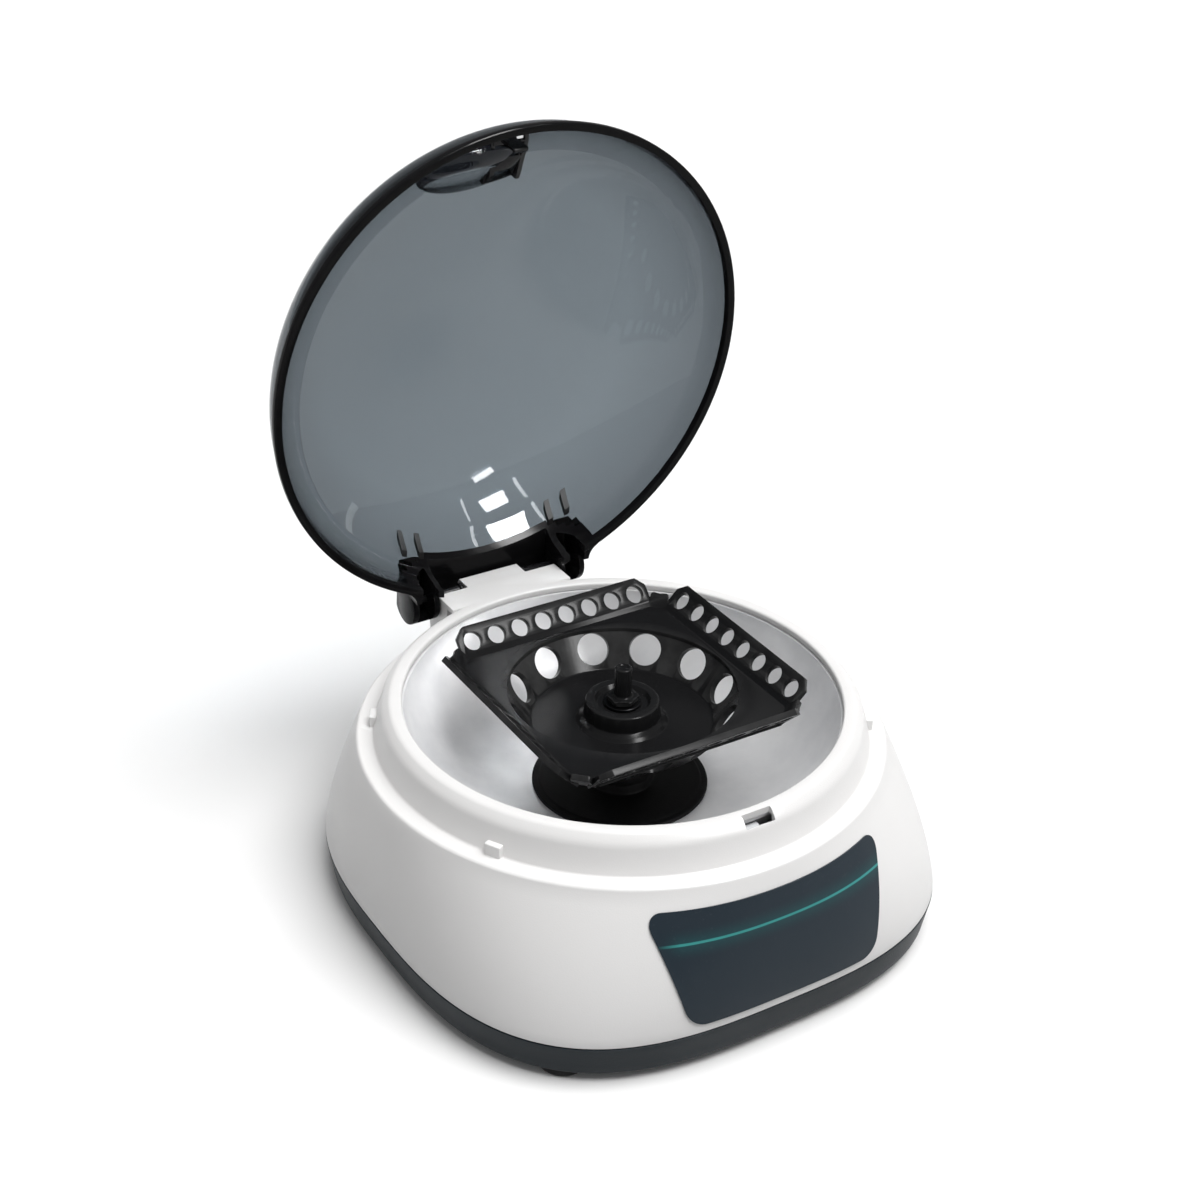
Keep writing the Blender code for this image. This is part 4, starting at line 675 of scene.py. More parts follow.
# Upper case: a rounded square below that becomes a circle at the shoulder, then the collar
case = dict(
    steps=192, sideRows=14, innerRows=8, wall=0.0023, frontRoundness=3.0, backRoundness=2.6,
    ledgeHeight=0.0585, sideLean=0.0055, shoulderDrop=0.0019, ledgeEdge=0.0008, ledgeWidth=0.0053,
    collarLean=0.0027, collarShoulderDrop=0.003, collarCurve=0.0027, mouthWidth=0.004, foot=0.0005,
    tabWidth=0.0055, tabHeight=0.004, tabEdge=0.0005, tabAngles=(30, 150, 210, 330),
)
ledgeHeight = case["ledgeHeight"]
wall = case["wall"]
shoulderHeight = ledgeHeight - case["shoulderDrop"]
shoulderRadius = halfWidth - case["sideLean"]
ledgeRadius = shoulderRadius - case["ledgeEdge"]
collarFoot = ledgeRadius - case["ledgeWidth"]
collarShoulder = collarFoot - case["collarLean"]
collarRing = collarShoulder - case["collarCurve"]
mouthRadius = collarRing - case["mouthWidth"]
lipUnderside = collarTop - wall


def sideRing(height, inset=0.0):
    share = min(max((height - caseBottom) / (shoulderHeight - caseBottom), 0), 1)
    bulge = 1 - cos(share * pi / 2)
    reach = [low + (shoulderRadius - low) * bulge - inset for low in (halfWidth, caseFront, caseBack)]
    powers = [low + (2 - low) * share for low in (case["frontRoundness"], case["backRoundness"])]
    return (*reach, *powers, height)


def roundRing(radius, height):
    return (radius, radius, radius, 2, 2, height)


def ringPoint(ring, share):
    width, front, back, frontPower, backPower, height = ring
    across, along = cos(2 * pi * share), sin(2 * pi * share)
    power, depth = (frontPower, front) if along < 0 else (backPower, back)
    x = width * abs(across) ** (2 / power) * (1 if across > 0 else -1)
    y = depth * abs(along) ** (2 / power) * (1 if along > 0 else -1)
    return (x, y, height)


def ringStack(name, rings, closed):
    rows = rings + rings[:1] if closed else rings
    steps = case["steps"]
    piece = skin(name, steps, len(rows) - 1, lambda i, j: ringPoint(rows[j], i % steps / steps))
    return closeUp(piece)


def caseRings():
    foot = case["foot"]
    rings = [sideRing(caseBottom + foot * (1 - cos(a)), foot * (1 - sin(a))) for a in (0, pi / 6, pi / 3)]
    for i in range(case["sideRows"] + 1):
        low = caseBottom + foot
        rings.append(sideRing(low + (shoulderHeight - low) * i / case["sideRows"]))
    top = filleted([
        (collarFoot, shoulderHeight - wall, 0),
        (shoulderRadius - 0.00003, shoulderHeight, 0),
        (ledgeRadius + 0.0001, ledgeHeight, 0.0012),
        (collarFoot, ledgeHeight, 0.0009),
        (collarShoulder, collarTop - case["collarShoulderDrop"], 0.006),
        (collarRing, collarTop, 0.0022),
        (mouthRadius, collarTop, 0.0009),
        (mouthRadius, lipUnderside, 0.0003),
        (collarShoulder - wall, lipUnderside, 0.0004),
        (collarFoot - wall, ledgeHeight - wall, 0),
    ])
    rings += [roundRing(radius, height) for radius, height in top[2:]]
    for i in range(case["innerRows"] + 1):
        high = shoulderHeight - wall / 2
        rings.append(sideRing(high + (caseBottom - high) * i / case["innerRows"], wall))
    return rings


hingeBlock = dict(
    halfWidth=0.0235, depth=0.01544, step=0.0043, skirt=0.0155, barrel=0.0035, knuckle=0.0115,
    notchDepth=0.0069, notchReach=0.00414, edge=0.0006, notchEdge=0.0004, pinBore=0.0017, pinRoot=0.0033,
    boreFar=0.03,
)
blockFront = hingeY - hingeBlock["depth"]
blockInner = blockFront + hingeBlock["step"]
notchFront = hingeY - hingeBlock["notchReach"]
notchFloor = collarTop - hingeBlock["notchDepth"]
farBack = caseBack + overrun
lidWall, rimWidth, tabClearance = 0.002, 0.0015, 0.0006
domeRadius = ledgeRadius - rimWidth
tabReach = domeRadius - lidWall - tabClearance


def makeHingeBlock():
    half, barrel = hingeBlock["halfWidth"], hingeBlock["barrel"]
    bottom = ledgeHeight - hingeBlock["skirt"]
    rise = asin((collarTop - hingeZ) / barrel)
    outline = [
        (blockFront, collarTop),
        (blockFront, lipUnderside + fitGap),
        (blockInner, lipUnderside + fitGap),
        (blockInner + wall / 2, ledgeHeight),
        (caseBack - wall * 5, bottom + wall),
        (caseBack - wall * 3, bottom),
        (caseBack - wall * 1.5, bottom),
        *arc((hingeY, hingeZ), barrel, 0, rise, 10),
    ]
    return sideSlab("hinge block", outline, -half, half, hingeBlock["edge"])


def makeNotch(side):
    ends = sorted((side * hingeBlock["knuckle"], side * (hingeBlock["halfWidth"] + overrun)))
    return roundBox(
        "notch", (ends[0], notchFront, notchFloor), (ends[1], farBack + 2 * overrun, collarTop + 2 * overrun),
        hingeBlock["notchEdge"],
    )


def makeTab(angle):
    low = (collarFoot - wall / 2, -case["tabWidth"] / 2, ledgeHeight - wall / 2)
    high = (tabReach, case["tabWidth"] / 2, ledgeHeight + case["tabHeight"])
    tab = roundBox("tab", low, high, case["tabEdge"], 3)
    return moved(tab, Matrix.Rotation(radians(angle), 4, "Z"))


backBay = dict(
    halfWidth=0.034, halfHeight=0.0098, depth=0.0052, lift=0.0158, edge=0.0016, spacing=0.037, padRows=8,
)
bayHeight = caseBottom - fitGap + backBay["lift"]
bayFace = caseBack - backBay["depth"]
latchSlot = dict(halfWidth=0.0052, reach=0.0024, depth=0.0034, drop=0.0097, edge=0.0003)
slotFront = collarRing + latchSlot["reach"]
slotBack = slotFront - latchSlot["depth"]
switch = dict(halfWidth=0.0105, halfHeight=0.0075)
inlet = dict(
    radius=0.0055, socket=0.0032, flangeRadius=0.0068, flange=0.0012, depth=0.012, pin=0.0009, edge=0.0004,
    pinEdge=0.0002, steps=96,
)
switchX, inletX = -backBay["spacing"] / 2, backBay["spacing"] / 2


def makeCase():
    piece = ringStack("upper_case", caseRings(), True)
    bay = backBay
    pad = roundBox(
        "back pad",
        (-bay["halfWidth"] - wall, bayFace - 2 * wall, bayHeight - bay["halfHeight"] - wall),
        (bay["halfWidth"] + wall, bayFace + wall / 2, bayHeight + bay["halfHeight"] + wall),
    )
    rows = bay["padRows"]
    heights = [caseBottom + (shoulderHeight - caseBottom) * i / rows for i in range(rows + 1)]
    rings = [sideRing(height, wall / 3) for height in heights]
    rings = [roundRing(0, heights[0]), *rings, roundRing(0, heights[-1])]
    carved(pad, ringStack("inside the wall", rings, False), operation="INTERSECT")
    joined(piece, pad, makeHingeBlock())
    joined(piece, gathered([makeTab(angle) for angle in case["tabAngles"]]))
    carved(piece, gathered([makeNotch(-1), makeNotch(1)]))
    reach = hingeBlock["knuckle"] - hingeBlock["pinRoot"] - fitGap
    far = hingeBlock["boreFar"]
    bores = [rod("bore", hingeBlock["pinBore"], *ends) for ends in ((-far, -reach), (reach, far))]
    carved(piece, moved(gathered(bores), layAlongX(hingeY, hingeZ)))
    slot = latchSlot
    carved(piece, roundBox(
        "slot", (-slot["halfWidth"], -slotFront, collarTop - slot["drop"]),
        (slot["halfWidth"], -slotBack, collarTop + overrun), slot["edge"],
    ))
    carved(piece, roundBox(
        "bay", (-bay["halfWidth"], bayFace, bayHeight - bay["halfHeight"]),
        (bay["halfWidth"], farBack + cutDepth, bayHeight + bay["halfHeight"]), bay["edge"], 4,
    ))
    carved(piece, roundBox(
        "switch hole", (switchX - switch["halfWidth"], bayFace - cutDepth, bayHeight - switch["halfHeight"]),
        (switchX + switch["halfWidth"], farBack, bayHeight + switch["halfHeight"]),
    ))
    hole = rod("inlet hole", inlet["radius"] + fitGap, -farBack, -bayFace + cutDepth, 64)
    carved(piece, moved(hole, layAlongY(inletX, bayHeight)))
    return settled(piece, "base", "white", caseWhite, "upper_shell", angle=28)


makeCase()
print("upper case made")


# Lower case: slate, with a lip that enters the upper case
tray = dict(
    draft=0.0017, edge=0.0012, wall=0.0026, floor=0.0025, lip=0.003, lipGap=0.0009, lipWall=0.0016,
    footInset=0.029, footEndInset=0.0256, plug=0.003, postInset=0.030, postSpacing=0.094, well=0.0033,
    wellTop=0.0216, soft=0.0003, floorCorner=0.001, postWall=0.0012, postRoot=0.001, socketDepth=0.0042,
)
trayTop = caseBottom - fitGap


def trayRing(height, inset=0.0, scale=1.0):
    draw = inset + tray["draft"] * max(trayTop - height, 0) / (trayTop - trayBottom)
    reach = [(size - draw) * scale for size in (halfWidth, caseFront, caseBack)]
    return (*reach, case["frontRoundness"], case["backRoundness"], height)


def trayRings():
    edge, soft = tray["edge"], tray["soft"]
    turns = [i * pi / 10 for i in range(6)]
    rings = [trayRing(trayBottom, edge, scale) for scale in (0.0, 0.5, 0.9)]
    rings += [trayRing(trayBottom + edge * (1 - cos(a)), edge * (1 - sin(a))) for a in turns]
    rings += [trayRing(trayBottom + edge + (trayTop - soft - trayBottom - edge) * i / 4) for i in range(1, 5)]
    rings += [trayRing(trayTop - soft * (1 - sin(a)), soft * (1 - cos(a))) for a in turns[1:]]
    lip = wall + tray["lipGap"]
    lipTop = trayTop + tray["lip"]
    inside = trayBottom + tray["floor"]
    inner = tray["wall"] + tray["lipWall"]
    corner = tray["floorCorner"]
    rings += [trayRing(trayTop, lip), trayRing(lipTop, lip), trayRing(lipTop, lip + tray["lipWall"])]
    rings += [trayRing(inside + corner, inner), trayRing(inside, inner + corner)]
    return rings + [trayRing(inside, inner + corner, scale) for scale in (0.9, 0.5, 0.0)]


def footPlaces():
    x = halfWidth - tray["footInset"]
    front = caseFront - tray["footEndInset"]
    return [(side * x, y) for side in (-1, 1) for y in (-front, front - 2 * tray["plug"])]


def screwPlaces():
    x = halfWidth - tray["postInset"]
    return [(side * x, y * tray["postSpacing"] / 2) for side in (-1, 1) for y in (-1, 1)]


def makeTray():
    piece = ringStack("lower_case", trayRings(), False)
    deep = tray["wellTop"]
    wells = []
    for x, y in screwPlaces():
        post = rod("post", tray["well"] + tray["postWall"], trayBottom + tray["postRoot"], deep + overrun, 32)
        joined(piece, moved(post, Matrix.Translation((x, y, 0))))
        well = rod("well", tray["well"], trayBottom - overrun, deep, 48)
        wells.append(moved(well, Matrix.Translation((x, y, 0))))
    for x, y in footPlaces():
        high = trayBottom + tray["socketDepth"]
        socket = rod("socket", tray["plug"] + fitGap, trayBottom - overrun, high, 32)
        wells.append(moved(socket, Matrix.Translation((x, y, 0))))
    carved(piece, gathered(wells))
    return settled(piece, "base", "slate", traySlate, "base_tray", angle=28)


makeTray()

# Feet: rubber pads pressed into the tray
foot = dict(
    radius=0.008, edge=0.0008, dimple=0.0045, dimpleDepth=0.0005, dimpleSlope=0.0006, plugHeight=0.0025,
    steps=72,
)


def makeFoot(number, x, y):
    top = trayBottom - fitGap
    edge = foot["edge"]
    outline = filleted([
        (0, top + foot["plugHeight"], 0),
        (tray["plug"], top + foot["plugHeight"], 0.0004),
        (tray["plug"], top, 0),
        (foot["radius"], top, edge / 2),
        (foot["radius"], 0, edge),
        (foot["dimple"] + foot["dimpleSlope"], 0, 0.0002),
        (foot["dimple"], foot["dimpleDepth"], 0.0003),
        (0, foot["dimpleDepth"], 0),
    ])
    piece = spun(f"rubber_foot_{number}", outline, foot["steps"])
    moved(piece, Matrix.Translation((x, y, 0)))
    return settled(piece, "base", "rubber", footRubber, f"foot_{number}")


for number, place in enumerate(footPlaces(), 1):
    makeFoot(number, *place)
print("lower case and feet made")


# Label plate: a thin moulded film wrapped on the front wall
label = dict(
    halfTop=0.0425, halfBottom=0.0340, corner=0.0055, thickness=0.0006, seat=0.00006, columns=64, rows=36,
    edge=0.00018,
)


def wallY(x, height, outset):
    width, front, _, power, _, _ = sideRing(height)
    return -front * (1 - abs(x / width) ** power) ** (1 / power) - outset


def makeLabel():
    low, high = panelLow.z, panelHigh.z

    def place(column, row):
        height = low + (high - low) * (1 - cos(pi * row / label["rows"])) / 2
        share = (height - low) / (high - low)
        half = label["halfBottom"] + (label["halfTop"] - label["halfBottom"]) * share
        corner = label["corner"]
        inset = corner - min(max(min(height - low, high - height), 0), corner)
        half += sqrt(corner**2 - inset**2) - corner
        x = half * (1 - cos(pi * column / label["columns"])) - half
        return (x, wallY(x, height, label["seat"] + label["thickness"]), height)

    piece = skin("label_plate", label["columns"], label["rows"], place)
    closeUp(piece)
    editAll(piece)
    if sum(polygon.normal.y for polygon in piece.data.polygons) > 0:
        bpy.ops.mesh.flip_normals()
    bpy.ops.object.mode_set(mode="OBJECT")
    applied(piece, "SOLIDIFY", thickness=label["thickness"], offset=-1)
    softened(piece, label["edge"], 2, 60)
    return settled(piece, "base", "panel", labelFilm, "front_panel")


makeLabel()
print("label plate made")


# Chamber: the satin bowl and the rubber disc on its floor
bowl = dict(
    sheet=0.0012, rimClearance=0.0018, wallClearance=0.0006, depth=0.0318, floorWidth=0.001, bore=0.008,
    wallPower=0.8, depthPower=1.25, rows=28, steps=160,
)
disc = dict(
    thickness=0.0015, hubRadius=0.0105, hubHeight=0.003, hubSlope=0.0008, lip=0.0006, bore=0.0066,
    grooveInset=0.0026, grooveSlope=0.0020, groove=0.0003, steps=128,
)
discRadius = (discHigh.x - discLow.x) / 2
bowlRimTop = lipUnderside - fitGap
bowlFloorTop = bowlRimTop - bowl["depth"]


def makeBowl():
    sheet = bowl["sheet"]
    floorRadius = discRadius + bowl["floorWidth"]
    span = mouthRadius - bowl["wallClearance"] - floorRadius
    inner, outer = [], []
    for i in range(bowl["rows"] + 1):
        angle = pi / 2 * i / bowl["rows"]
        radius = floorRadius + span * cos(angle) ** bowl["wallPower"]
        height = bowlRimTop - bowl["depth"] * sin(angle) ** bowl["depthPower"]
        share = i / bowl["rows"]
        inner.append((radius, height))
        outer.append((radius + sheet * (1 - share), height - sheet * min(1, 1.5 * share)))
    rim = collarShoulder - wall - bowl["rimClearance"]
    under = bowlFloorTop - sheet
    outline = [
        (rim, bowlRimTop), (rim, bowlRimTop - sheet), (outer[0][0], bowlRimTop - sheet), *outer[1:],
        (bowl["bore"], under), (bowl["bore"], bowlFloorTop), *inner[::-1],
    ]
    return settled(spun("steel_bowl", outline, bowl["steps"]), "base", "satin", bowlSatin, "chamber_bowl")


def makeDisc():
    low = discLow.z
    top = low + disc["thickness"]
    bore, groove = disc["bore"], disc["groove"]
    outline = filleted([
        (bore, top + disc["hubHeight"], 0.0003),
        (disc["hubRadius"], top + disc["hubHeight"], 0.0006),
        (disc["hubRadius"] + disc["hubSlope"], top, 0.0009),
        (discRadius - disc["grooveInset"], top, 0.0003),
        (discRadius - disc["grooveSlope"], top - groove, 0.0002),
        (discRadius, top - groove, disc["lip"]),
        (discRadius, low, 0.0001),
        (bore, low, 0),
    ])
    return settled(spun("floor_disc", outline, disc["steps"]), "base", "rubber", discRubber, "chamber_seal")


makeBowl()
makeDisc()
print("bowl and disc made")


# Rotor: a square plate with four leaning strip flanges round a conical well
rotor = dict(
    lift=0.0019, wall=0.002, half=0.041, cornerCut=0.0075, margin=0.0031, overlap=0.0006, lean=0.0083,
    depth=0.0118, hubFoot=0.014, hub=0.012, hubHeight=0.0075, dish=0.0092, dishDepth=0.0016, steps=128,
    foldInset=0.002, flange=0.0111, cornerGap=0.0044, chamfer=0.0032, chamferWidth=0.0031, pitch=0.009,
    holes=8, holeRadius=0.0032, holeReach=0.00566, tabHalf=0.0030, tabLength=0.0057, tubeHoles=12,
    tubeRadius=0.00545, bore=0.0023, edge=0.00028,
)
sheet = rotor["wall"]
deckTop = collarTop + rotor["lift"]
wellFloor = deckTop - rotor["depth"]
hubUnder = wellFloor - sheet
hubTop = wellFloor + rotor["hubHeight"]
wellTopRadius = rotor["half"] - rotor["margin"]
wellFloorRadius = wellTopRadius - rotor["lean"]
cornerSum = rotor["half"] * 2 - rotor["cornerCut"]
foldHalf = rotor["half"] - rotor["cornerGap"]


def makeWell():
    top = deckTop - sheet / 3
    drop = top - wellFloor
    side = sheet * hypot(drop, wellTopRadius - wellFloorRadius) / drop
    hub = rotor["hub"]
    outline = filleted([
        (wellTopRadius + side, top, 0),
        (wellFloorRadius + side, wellFloor, 0.0012),
        (wellFloorRadius, hubUnder, 0.0008),
        (rotor["bore"], hubUnder, 0),
        (rotor["bore"], hubTop - rotor["dishDepth"], 0.0002),
        (rotor["dish"] - sheet / 2, hubTop - rotor["dishDepth"], 0.0004),
        (rotor["dish"], hubTop, 0.0004),
        (hub, hubTop, 0.0007),
        (hub + sheet / 4, wellFloor + sheet, 0.0008),
        (rotor["hubFoot"], wellFloor + sheet / 2, 0.0003),
        (rotor["hubFoot"] + sheet / 2, wellFloor, 0.0005),
        (wellFloorRadius, wellFloor, 0.0010),
        (wellTopRadius, top, 0),
    ])
    return spun("rotor_plate", outline, rotor["steps"])


def makeDeck():
    near = cornerSum - rotor["half"]
    outline = []
    for turn in range(4):
        for corner in ((rotor["half"], near), (near, rotor["half"])):
            outline.append(tuple(Matrix.Rotation(turn * pi / 2, 2) @ Vector(corner)))
    deck = slab("deck", outline, sheet)
    hole = rod("deck hole", wellTopRadius - rotor["overlap"], -sheet, sheet, rotor["steps"])
    carved(deck, hole)
    softened(deck, rotor["edge"], 2)
    return moved(deck, Matrix.Translation((0, 0, deckTop - sheet / 2)))


def leanOut(fold, quarter):
    sunk = Matrix.Translation((0, 0, sheet / 2))
    lean = Matrix.Rotation(3 * pi / 4, 4, "X")
    out = Matrix.Translation((0, -fold, deckTop))
    return Matrix.Rotation(quarter * pi / 2, 4, "Z") @ out @ lean @ sunk


def makeFlange(quarter):
    length, foldWidth = rotor["flange"], foldHalf
    topWidth = foldHalf - rotor["chamferWidth"]
    shoulder = length - rotor["chamfer"]
    outline = filleted([
        (-foldWidth, -sheet, 0), (foldWidth, -sheet, 0), (foldWidth, shoulder, 0.0008),
        (topWidth, length, 0.0008), (-topWidth, length, 0.0008), (-foldWidth, shoulder, 0.0008),
    ])
    flange = slab("flange", outline, sheet)
    first = -rotor["pitch"] * (rotor["holes"] - 1) / 2
    for i in range(rotor["holes"]):
        drill = rod("strip hole", rotor["holeRadius"], -sheet, sheet, 40)
        carved(flange, moved(drill, Matrix.Translation((first + rotor["pitch"] * i, rotor["holeReach"], 0))))
    softened(flange, rotor["edge"], 2)
    return moved(flange, leanOut(rotor["half"] - rotor["foldInset"], quarter))


def makeCornerTab(quarter):
    half, length = rotor["tabHalf"], rotor["tabLength"]
    outline = filleted([
        (-half - sheet / 2, -sheet, 0), (half + sheet / 2, -sheet, 0), (half, length, 0.0010),
        (0, length - sheet / 4, 0), (-half, length, 0.0010),
    ])
    tab = slab("corner tab", outline, sheet, rotor["edge"])
    return moved(tab, leanOut((cornerSum - sheet / 4) / sqrt(2), quarter + 0.5))


def makeTubeDrills():
    top = deckTop - sheet / 3
    middle = Vector(((wellTopRadius + wellFloorRadius) / 2, 0, (top + wellFloor) / 2 + sheet / 4))
    along = Vector((wellTopRadius - wellFloorRadius, 0, top - wellFloor))
    tilt = Vector((0, 0, 1)).rotation_difference(Vector((along.z, 0, -along.x))).to_matrix().to_4x4()
    drills = []
    for i in range(rotor["tubeHoles"]):
        turn = Matrix.Rotation(2 * pi * (i + 0.5) / rotor["tubeHoles"], 4, "Z")
        drill = rod("tube drill", rotor["tubeRadius"], -2 * sheet, 2 * sheet, 48)
        drills.append(moved(drill, turn @ Matrix.Translation(middle) @ tilt))
    return gathered(drills)


def makeRotor():
    piece = makeWell()
    joined(piece, makeDeck())
    joined(piece, *[makeFlange(quarter) for quarter in range(4)])
    joined(piece, *[makeCornerTab(quarter) for quarter in range(4)])
    carved(piece, makeTubeDrills())
    return settled(piece, "rotor", "gloss_black", rotorBlack, "rotor")


makeRotor()
print("rotor made")

# The nut, the washer and the drive hub on the rotor's axis
nut = dict(
    radius=0.0028, flange=0.0052, flangeHeight=0.0016, edge=0.0006, dish=0.0004, dishShare=0.55,
    crownShare=0.7, tip=0.002, sides=6, flatShare=0.90, flatHalf=0.006, flatFar=0.012, flatRise=0.0002,
    steps=96,
)
washer = dict(radius=0.0062, thickness=0.0008)
hub = dict(radius=0.006, length=0.0132, headShare=1.5, chamfer=0.0012, chamferWidth=0.0006, steps=96)


def makeNut():
    low, high = nutLow.z, nutHigh.z
    shaftEnd = hubTop + 2 * nut["flangeHeight"] + fitGap
    flangeTop = low + nut["flangeHeight"]
    outline = filleted([
        (0, high - nut["dish"], 0),
        (nut["radius"] * nut["dishShare"], high - nut["dish"], 0.0003),
        (nut["radius"] * nut["crownShare"], high, 0.0003),
        (nut["radius"], high, nut["edge"]),
        (nut["radius"], flangeTop, 0.0008),
        (nut["flange"], flangeTop, 0.0004),
        (nut["flange"], low, 0.0002),
        (rotor["bore"], low, 0),
        (rotor["bore"], shaftEnd, 0),
        (0, shaftEnd + nut["tip"], 0),
    ])
    piece = spun("shaft_nut", outline, nut["steps"])
    near = (nut["flange"] * nut["flatShare"], -nut["flatHalf"], low - 0.001)
    far = (nut["flatFar"], nut["flatHalf"], flangeTop + nut["flatRise"])
    for turn in range(nut["sides"]):
        flat = roundBox("flat", near, far, 0.0001)
        carved(piece, moved(flat, Matrix.Rotation(turn * pi / 3, 4, "Z")))
    return settled(piece, "nut", "gloss_black", rotorBlack, "rotor_nut")


def makeWasher():
    top = nutLow.z - fitGap
    outline = filleted([
        (rotor["bore"], top, 0), (washer["radius"], top, 0.0002),
        (washer["radius"], top - washer["thickness"], 0.0002),
        (rotor["bore"], top - washer["thickness"], 0),
    ])
    return settled(spun("steel_washer", outline, nut["steps"]), "rotor", "steel", blackSteel, "nut_washer")


def makeDriveHub():
    top = hubUnder - fitGap
    radius, bottom = hub["radius"], top - hub["length"]
    head = radius * hub["headShare"]
    outline = filleted([
        (rotor["bore"], top, 0), (head, top, 0.0004), (head, top - sheet, 0.0004),
        (radius, top - sheet * 2, 0.0010), (radius, bottom + hub["chamfer"], 0.0004),
        (radius - hub["chamferWidth"], bottom, 0.0002), (rotor["bore"], bottom, 0),
    ])
    return settled(spun("drive_seat", outline, hub["steps"]), "rotor", "dark", hingeDark, "drive_hub")


makeNut()
makeWasher()
makeDriveHub()
print("nut, washer and drive seat made")


# Lid: a smoke grey dome with a finger recess, modelled shut and then turned open on its hinge
lid = dict(
    rise=0.0335, skirt=0.0045, rimStep=0.0028, rimHeight=0.0025, rimEdge=0.0005, rows=30, steps=192,
)
scoop = dict(
    across=-0.0095, along=0.0635, halfWidth=0.0195, halfLength=0.0152, depth=0.0048, segments=96,
    edge=0.0005, wallShare=0.72, wallMargin=0.02,
)
ear = dict(
    gap=0.0005, width=0.0103, radius=0.0075, roofShare=0.848, cheek=0.0022, frontReach=0.01444,
    coverReach=0.00256, fillet=0.006, filletHeight=0.0082, edge=0.0005, bore=0.0017, boreEnd=0.0001,
)
rib = dict(width=0.0019, height=0.002, rise=0.0043)
lidRadius = ledgeRadius
lidRim = ledgeHeight + fitGap
rimInner = lidRadius - lid["rimStep"]
rimTop = lidRim + lid["rimHeight"]
domeStart = lidRim + lid["skirt"]
earInner = hingeBlock["halfWidth"] + ear["gap"]
earOuter = earInner + ear["width"]
earRoof = hingeZ + ear["radius"] * ear["roofShare"]
earFront = hingeY - ear["frontReach"]
coverUnderside = earRoof - lidWall
filletTop = lidRim + ear["filletHeight"]
belowRim = lidRim - 0.01
hingeShift = Matrix.Translation((0, hingeY, hingeZ))
lidOpen = hingeShift @ Matrix.Rotation(-lidAngle, 4, "X") @ hingeShift.inverted()


def domeCurve(inset):
    radius, rise, rows = domeRadius - inset, lid["rise"] - inset, lid["rows"]
    angles = [pi / 2 * (1 - i / rows) for i in range(1, rows + 1)]
    return [(0, domeStart + rise), *((radius * cos(a), domeStart + rise * sin(a)) for a in angles)]


def domeSolid():
    rim = filleted([
        (domeRadius, domeStart, 0), (domeRadius, rimTop, 0.0006),
        (lidRadius, rimTop - lidWall / 8, lid["rimEdge"]),
        (lidRadius, lidRim, lid["rimEdge"]), (rimInner - 0.0005, lidRim, 0), (0, lidRim, 0),
    ])
    return spun("lid_shell", [*domeCurve(0), *rim[1:]], lid["steps"])


def lidCavity():
    edge, soft = lid["rimEdge"], 0.00015
    outline = [
        *domeCurve(lidWall), (rimInner, rimTop), (rimInner, lidRim + edge), (rimInner + soft, lidRim + soft),
        (rimInner + edge, lidRim), (rimInner + edge, belowRim), (0, belowRim),
    ]
    return carved(spun("lid cavity", outline, lid["steps"]), scoopTool(lidWall))


def scoopSpace(grow):
    share = scoop["along"] / domeRadius
    slope = Vector((0, -share, sqrt(1 - share**2)))
    tilt = Vector((0, 0, 1)).rotation_difference(slope).to_matrix().to_4x4()
    size = [scoop[key] + grow for key in ("halfWidth", "halfLength", "depth")]
    height = domeStart + lid["rise"] * sqrt(1 - (hypot(scoop["across"], scoop["along"]) / domeRadius) ** 2)
    place = Matrix.Translation((scoop["across"], -scoop["along"], height))
    return place @ tilt @ Matrix.Diagonal((*size, 1))


def scoopTool(grow):
    deselectAll()
    steps = scoop["segments"]
    bpy.ops.mesh.primitive_uv_sphere_add(segments=steps, ring_count=steps // 2, radius=1)
    return moved(named("scoop tool"), scoopSpace(grow))


# picks the faces of the finger recess's walls, which get the painted shade
def paintedScoopShadeFace(points):
    for grow in (0, lidWall):
        flatten = scoopSpace(grow).inverted()
        spots = [flatten @ point for point in points]
        if all(abs(spot.length - 1) < scoop["wallMargin"] and spot.z > -scoop["wallShare"] for spot in spots):
            return True
    return False


def makeEar(side):
    rise = asin((earRoof - hingeZ) / ear["radius"])
    outline = [
        (earFront, earRoof), (earFront, lidRim + lid["rimHeight"] / 2),
        (hingeY - ear["radius"], lidRim + lid["rimHeight"] / 2),
        *arc((hingeY, hingeZ), ear["radius"], -pi * 3 / 4, rise, 24),
    ]
    ends = sorted((side * earInner, side * earOuter))
    return sideSlab("ear", outline, *ends, ear["edge"])


def makeEarFillet(side):
    across = earOuter + ear["fillet"]
    along = sqrt((lidRadius + ear["fillet"]) ** 2 - across**2)
    sweep = Vector((-across, -along)).angle(Vector((-1, 0)))
    outline = arc((across, along), ear["fillet"], -pi, -pi + sweep, 14)
    inner = earOuter - lidWall
    outline += [(inner, outline[-1][1] - lidWall), (inner, along)]
    piece = slab("ear fillet", [(side * x, y) for x, y in outline], filletTop - lidRim - fitGap)
    return moved(piece, Matrix.Translation((0, 0, (lidRim + filletTop) / 2)))


def earCutters():
    cheek, far = ear["cheek"], hingeY + ear["radius"]
    tools = [roundBox(
        "window", (-earInner, earFront - 0.01, belowRim), (earInner, far, coverUnderside), 0.0006,
    )]
    for side in (-1, 1):
        ends = sorted((side * (earInner + cheek), side * (earOuter - cheek)))
        low, high = (ends[0], domeRadius * 0.9, belowRim), (ends[1], far - cheek, coverUnderside)
        tools.append(roundBox("ear pocket", low, high, 0.0008))
        ends = sorted((side * (earInner - 0.005), side * (earOuter - ear["boreEnd"])))
        tools.append(moved(rod("ear bore", ear["bore"], *ends, 40), layAlongX(hingeY, hingeZ)))
    return tools


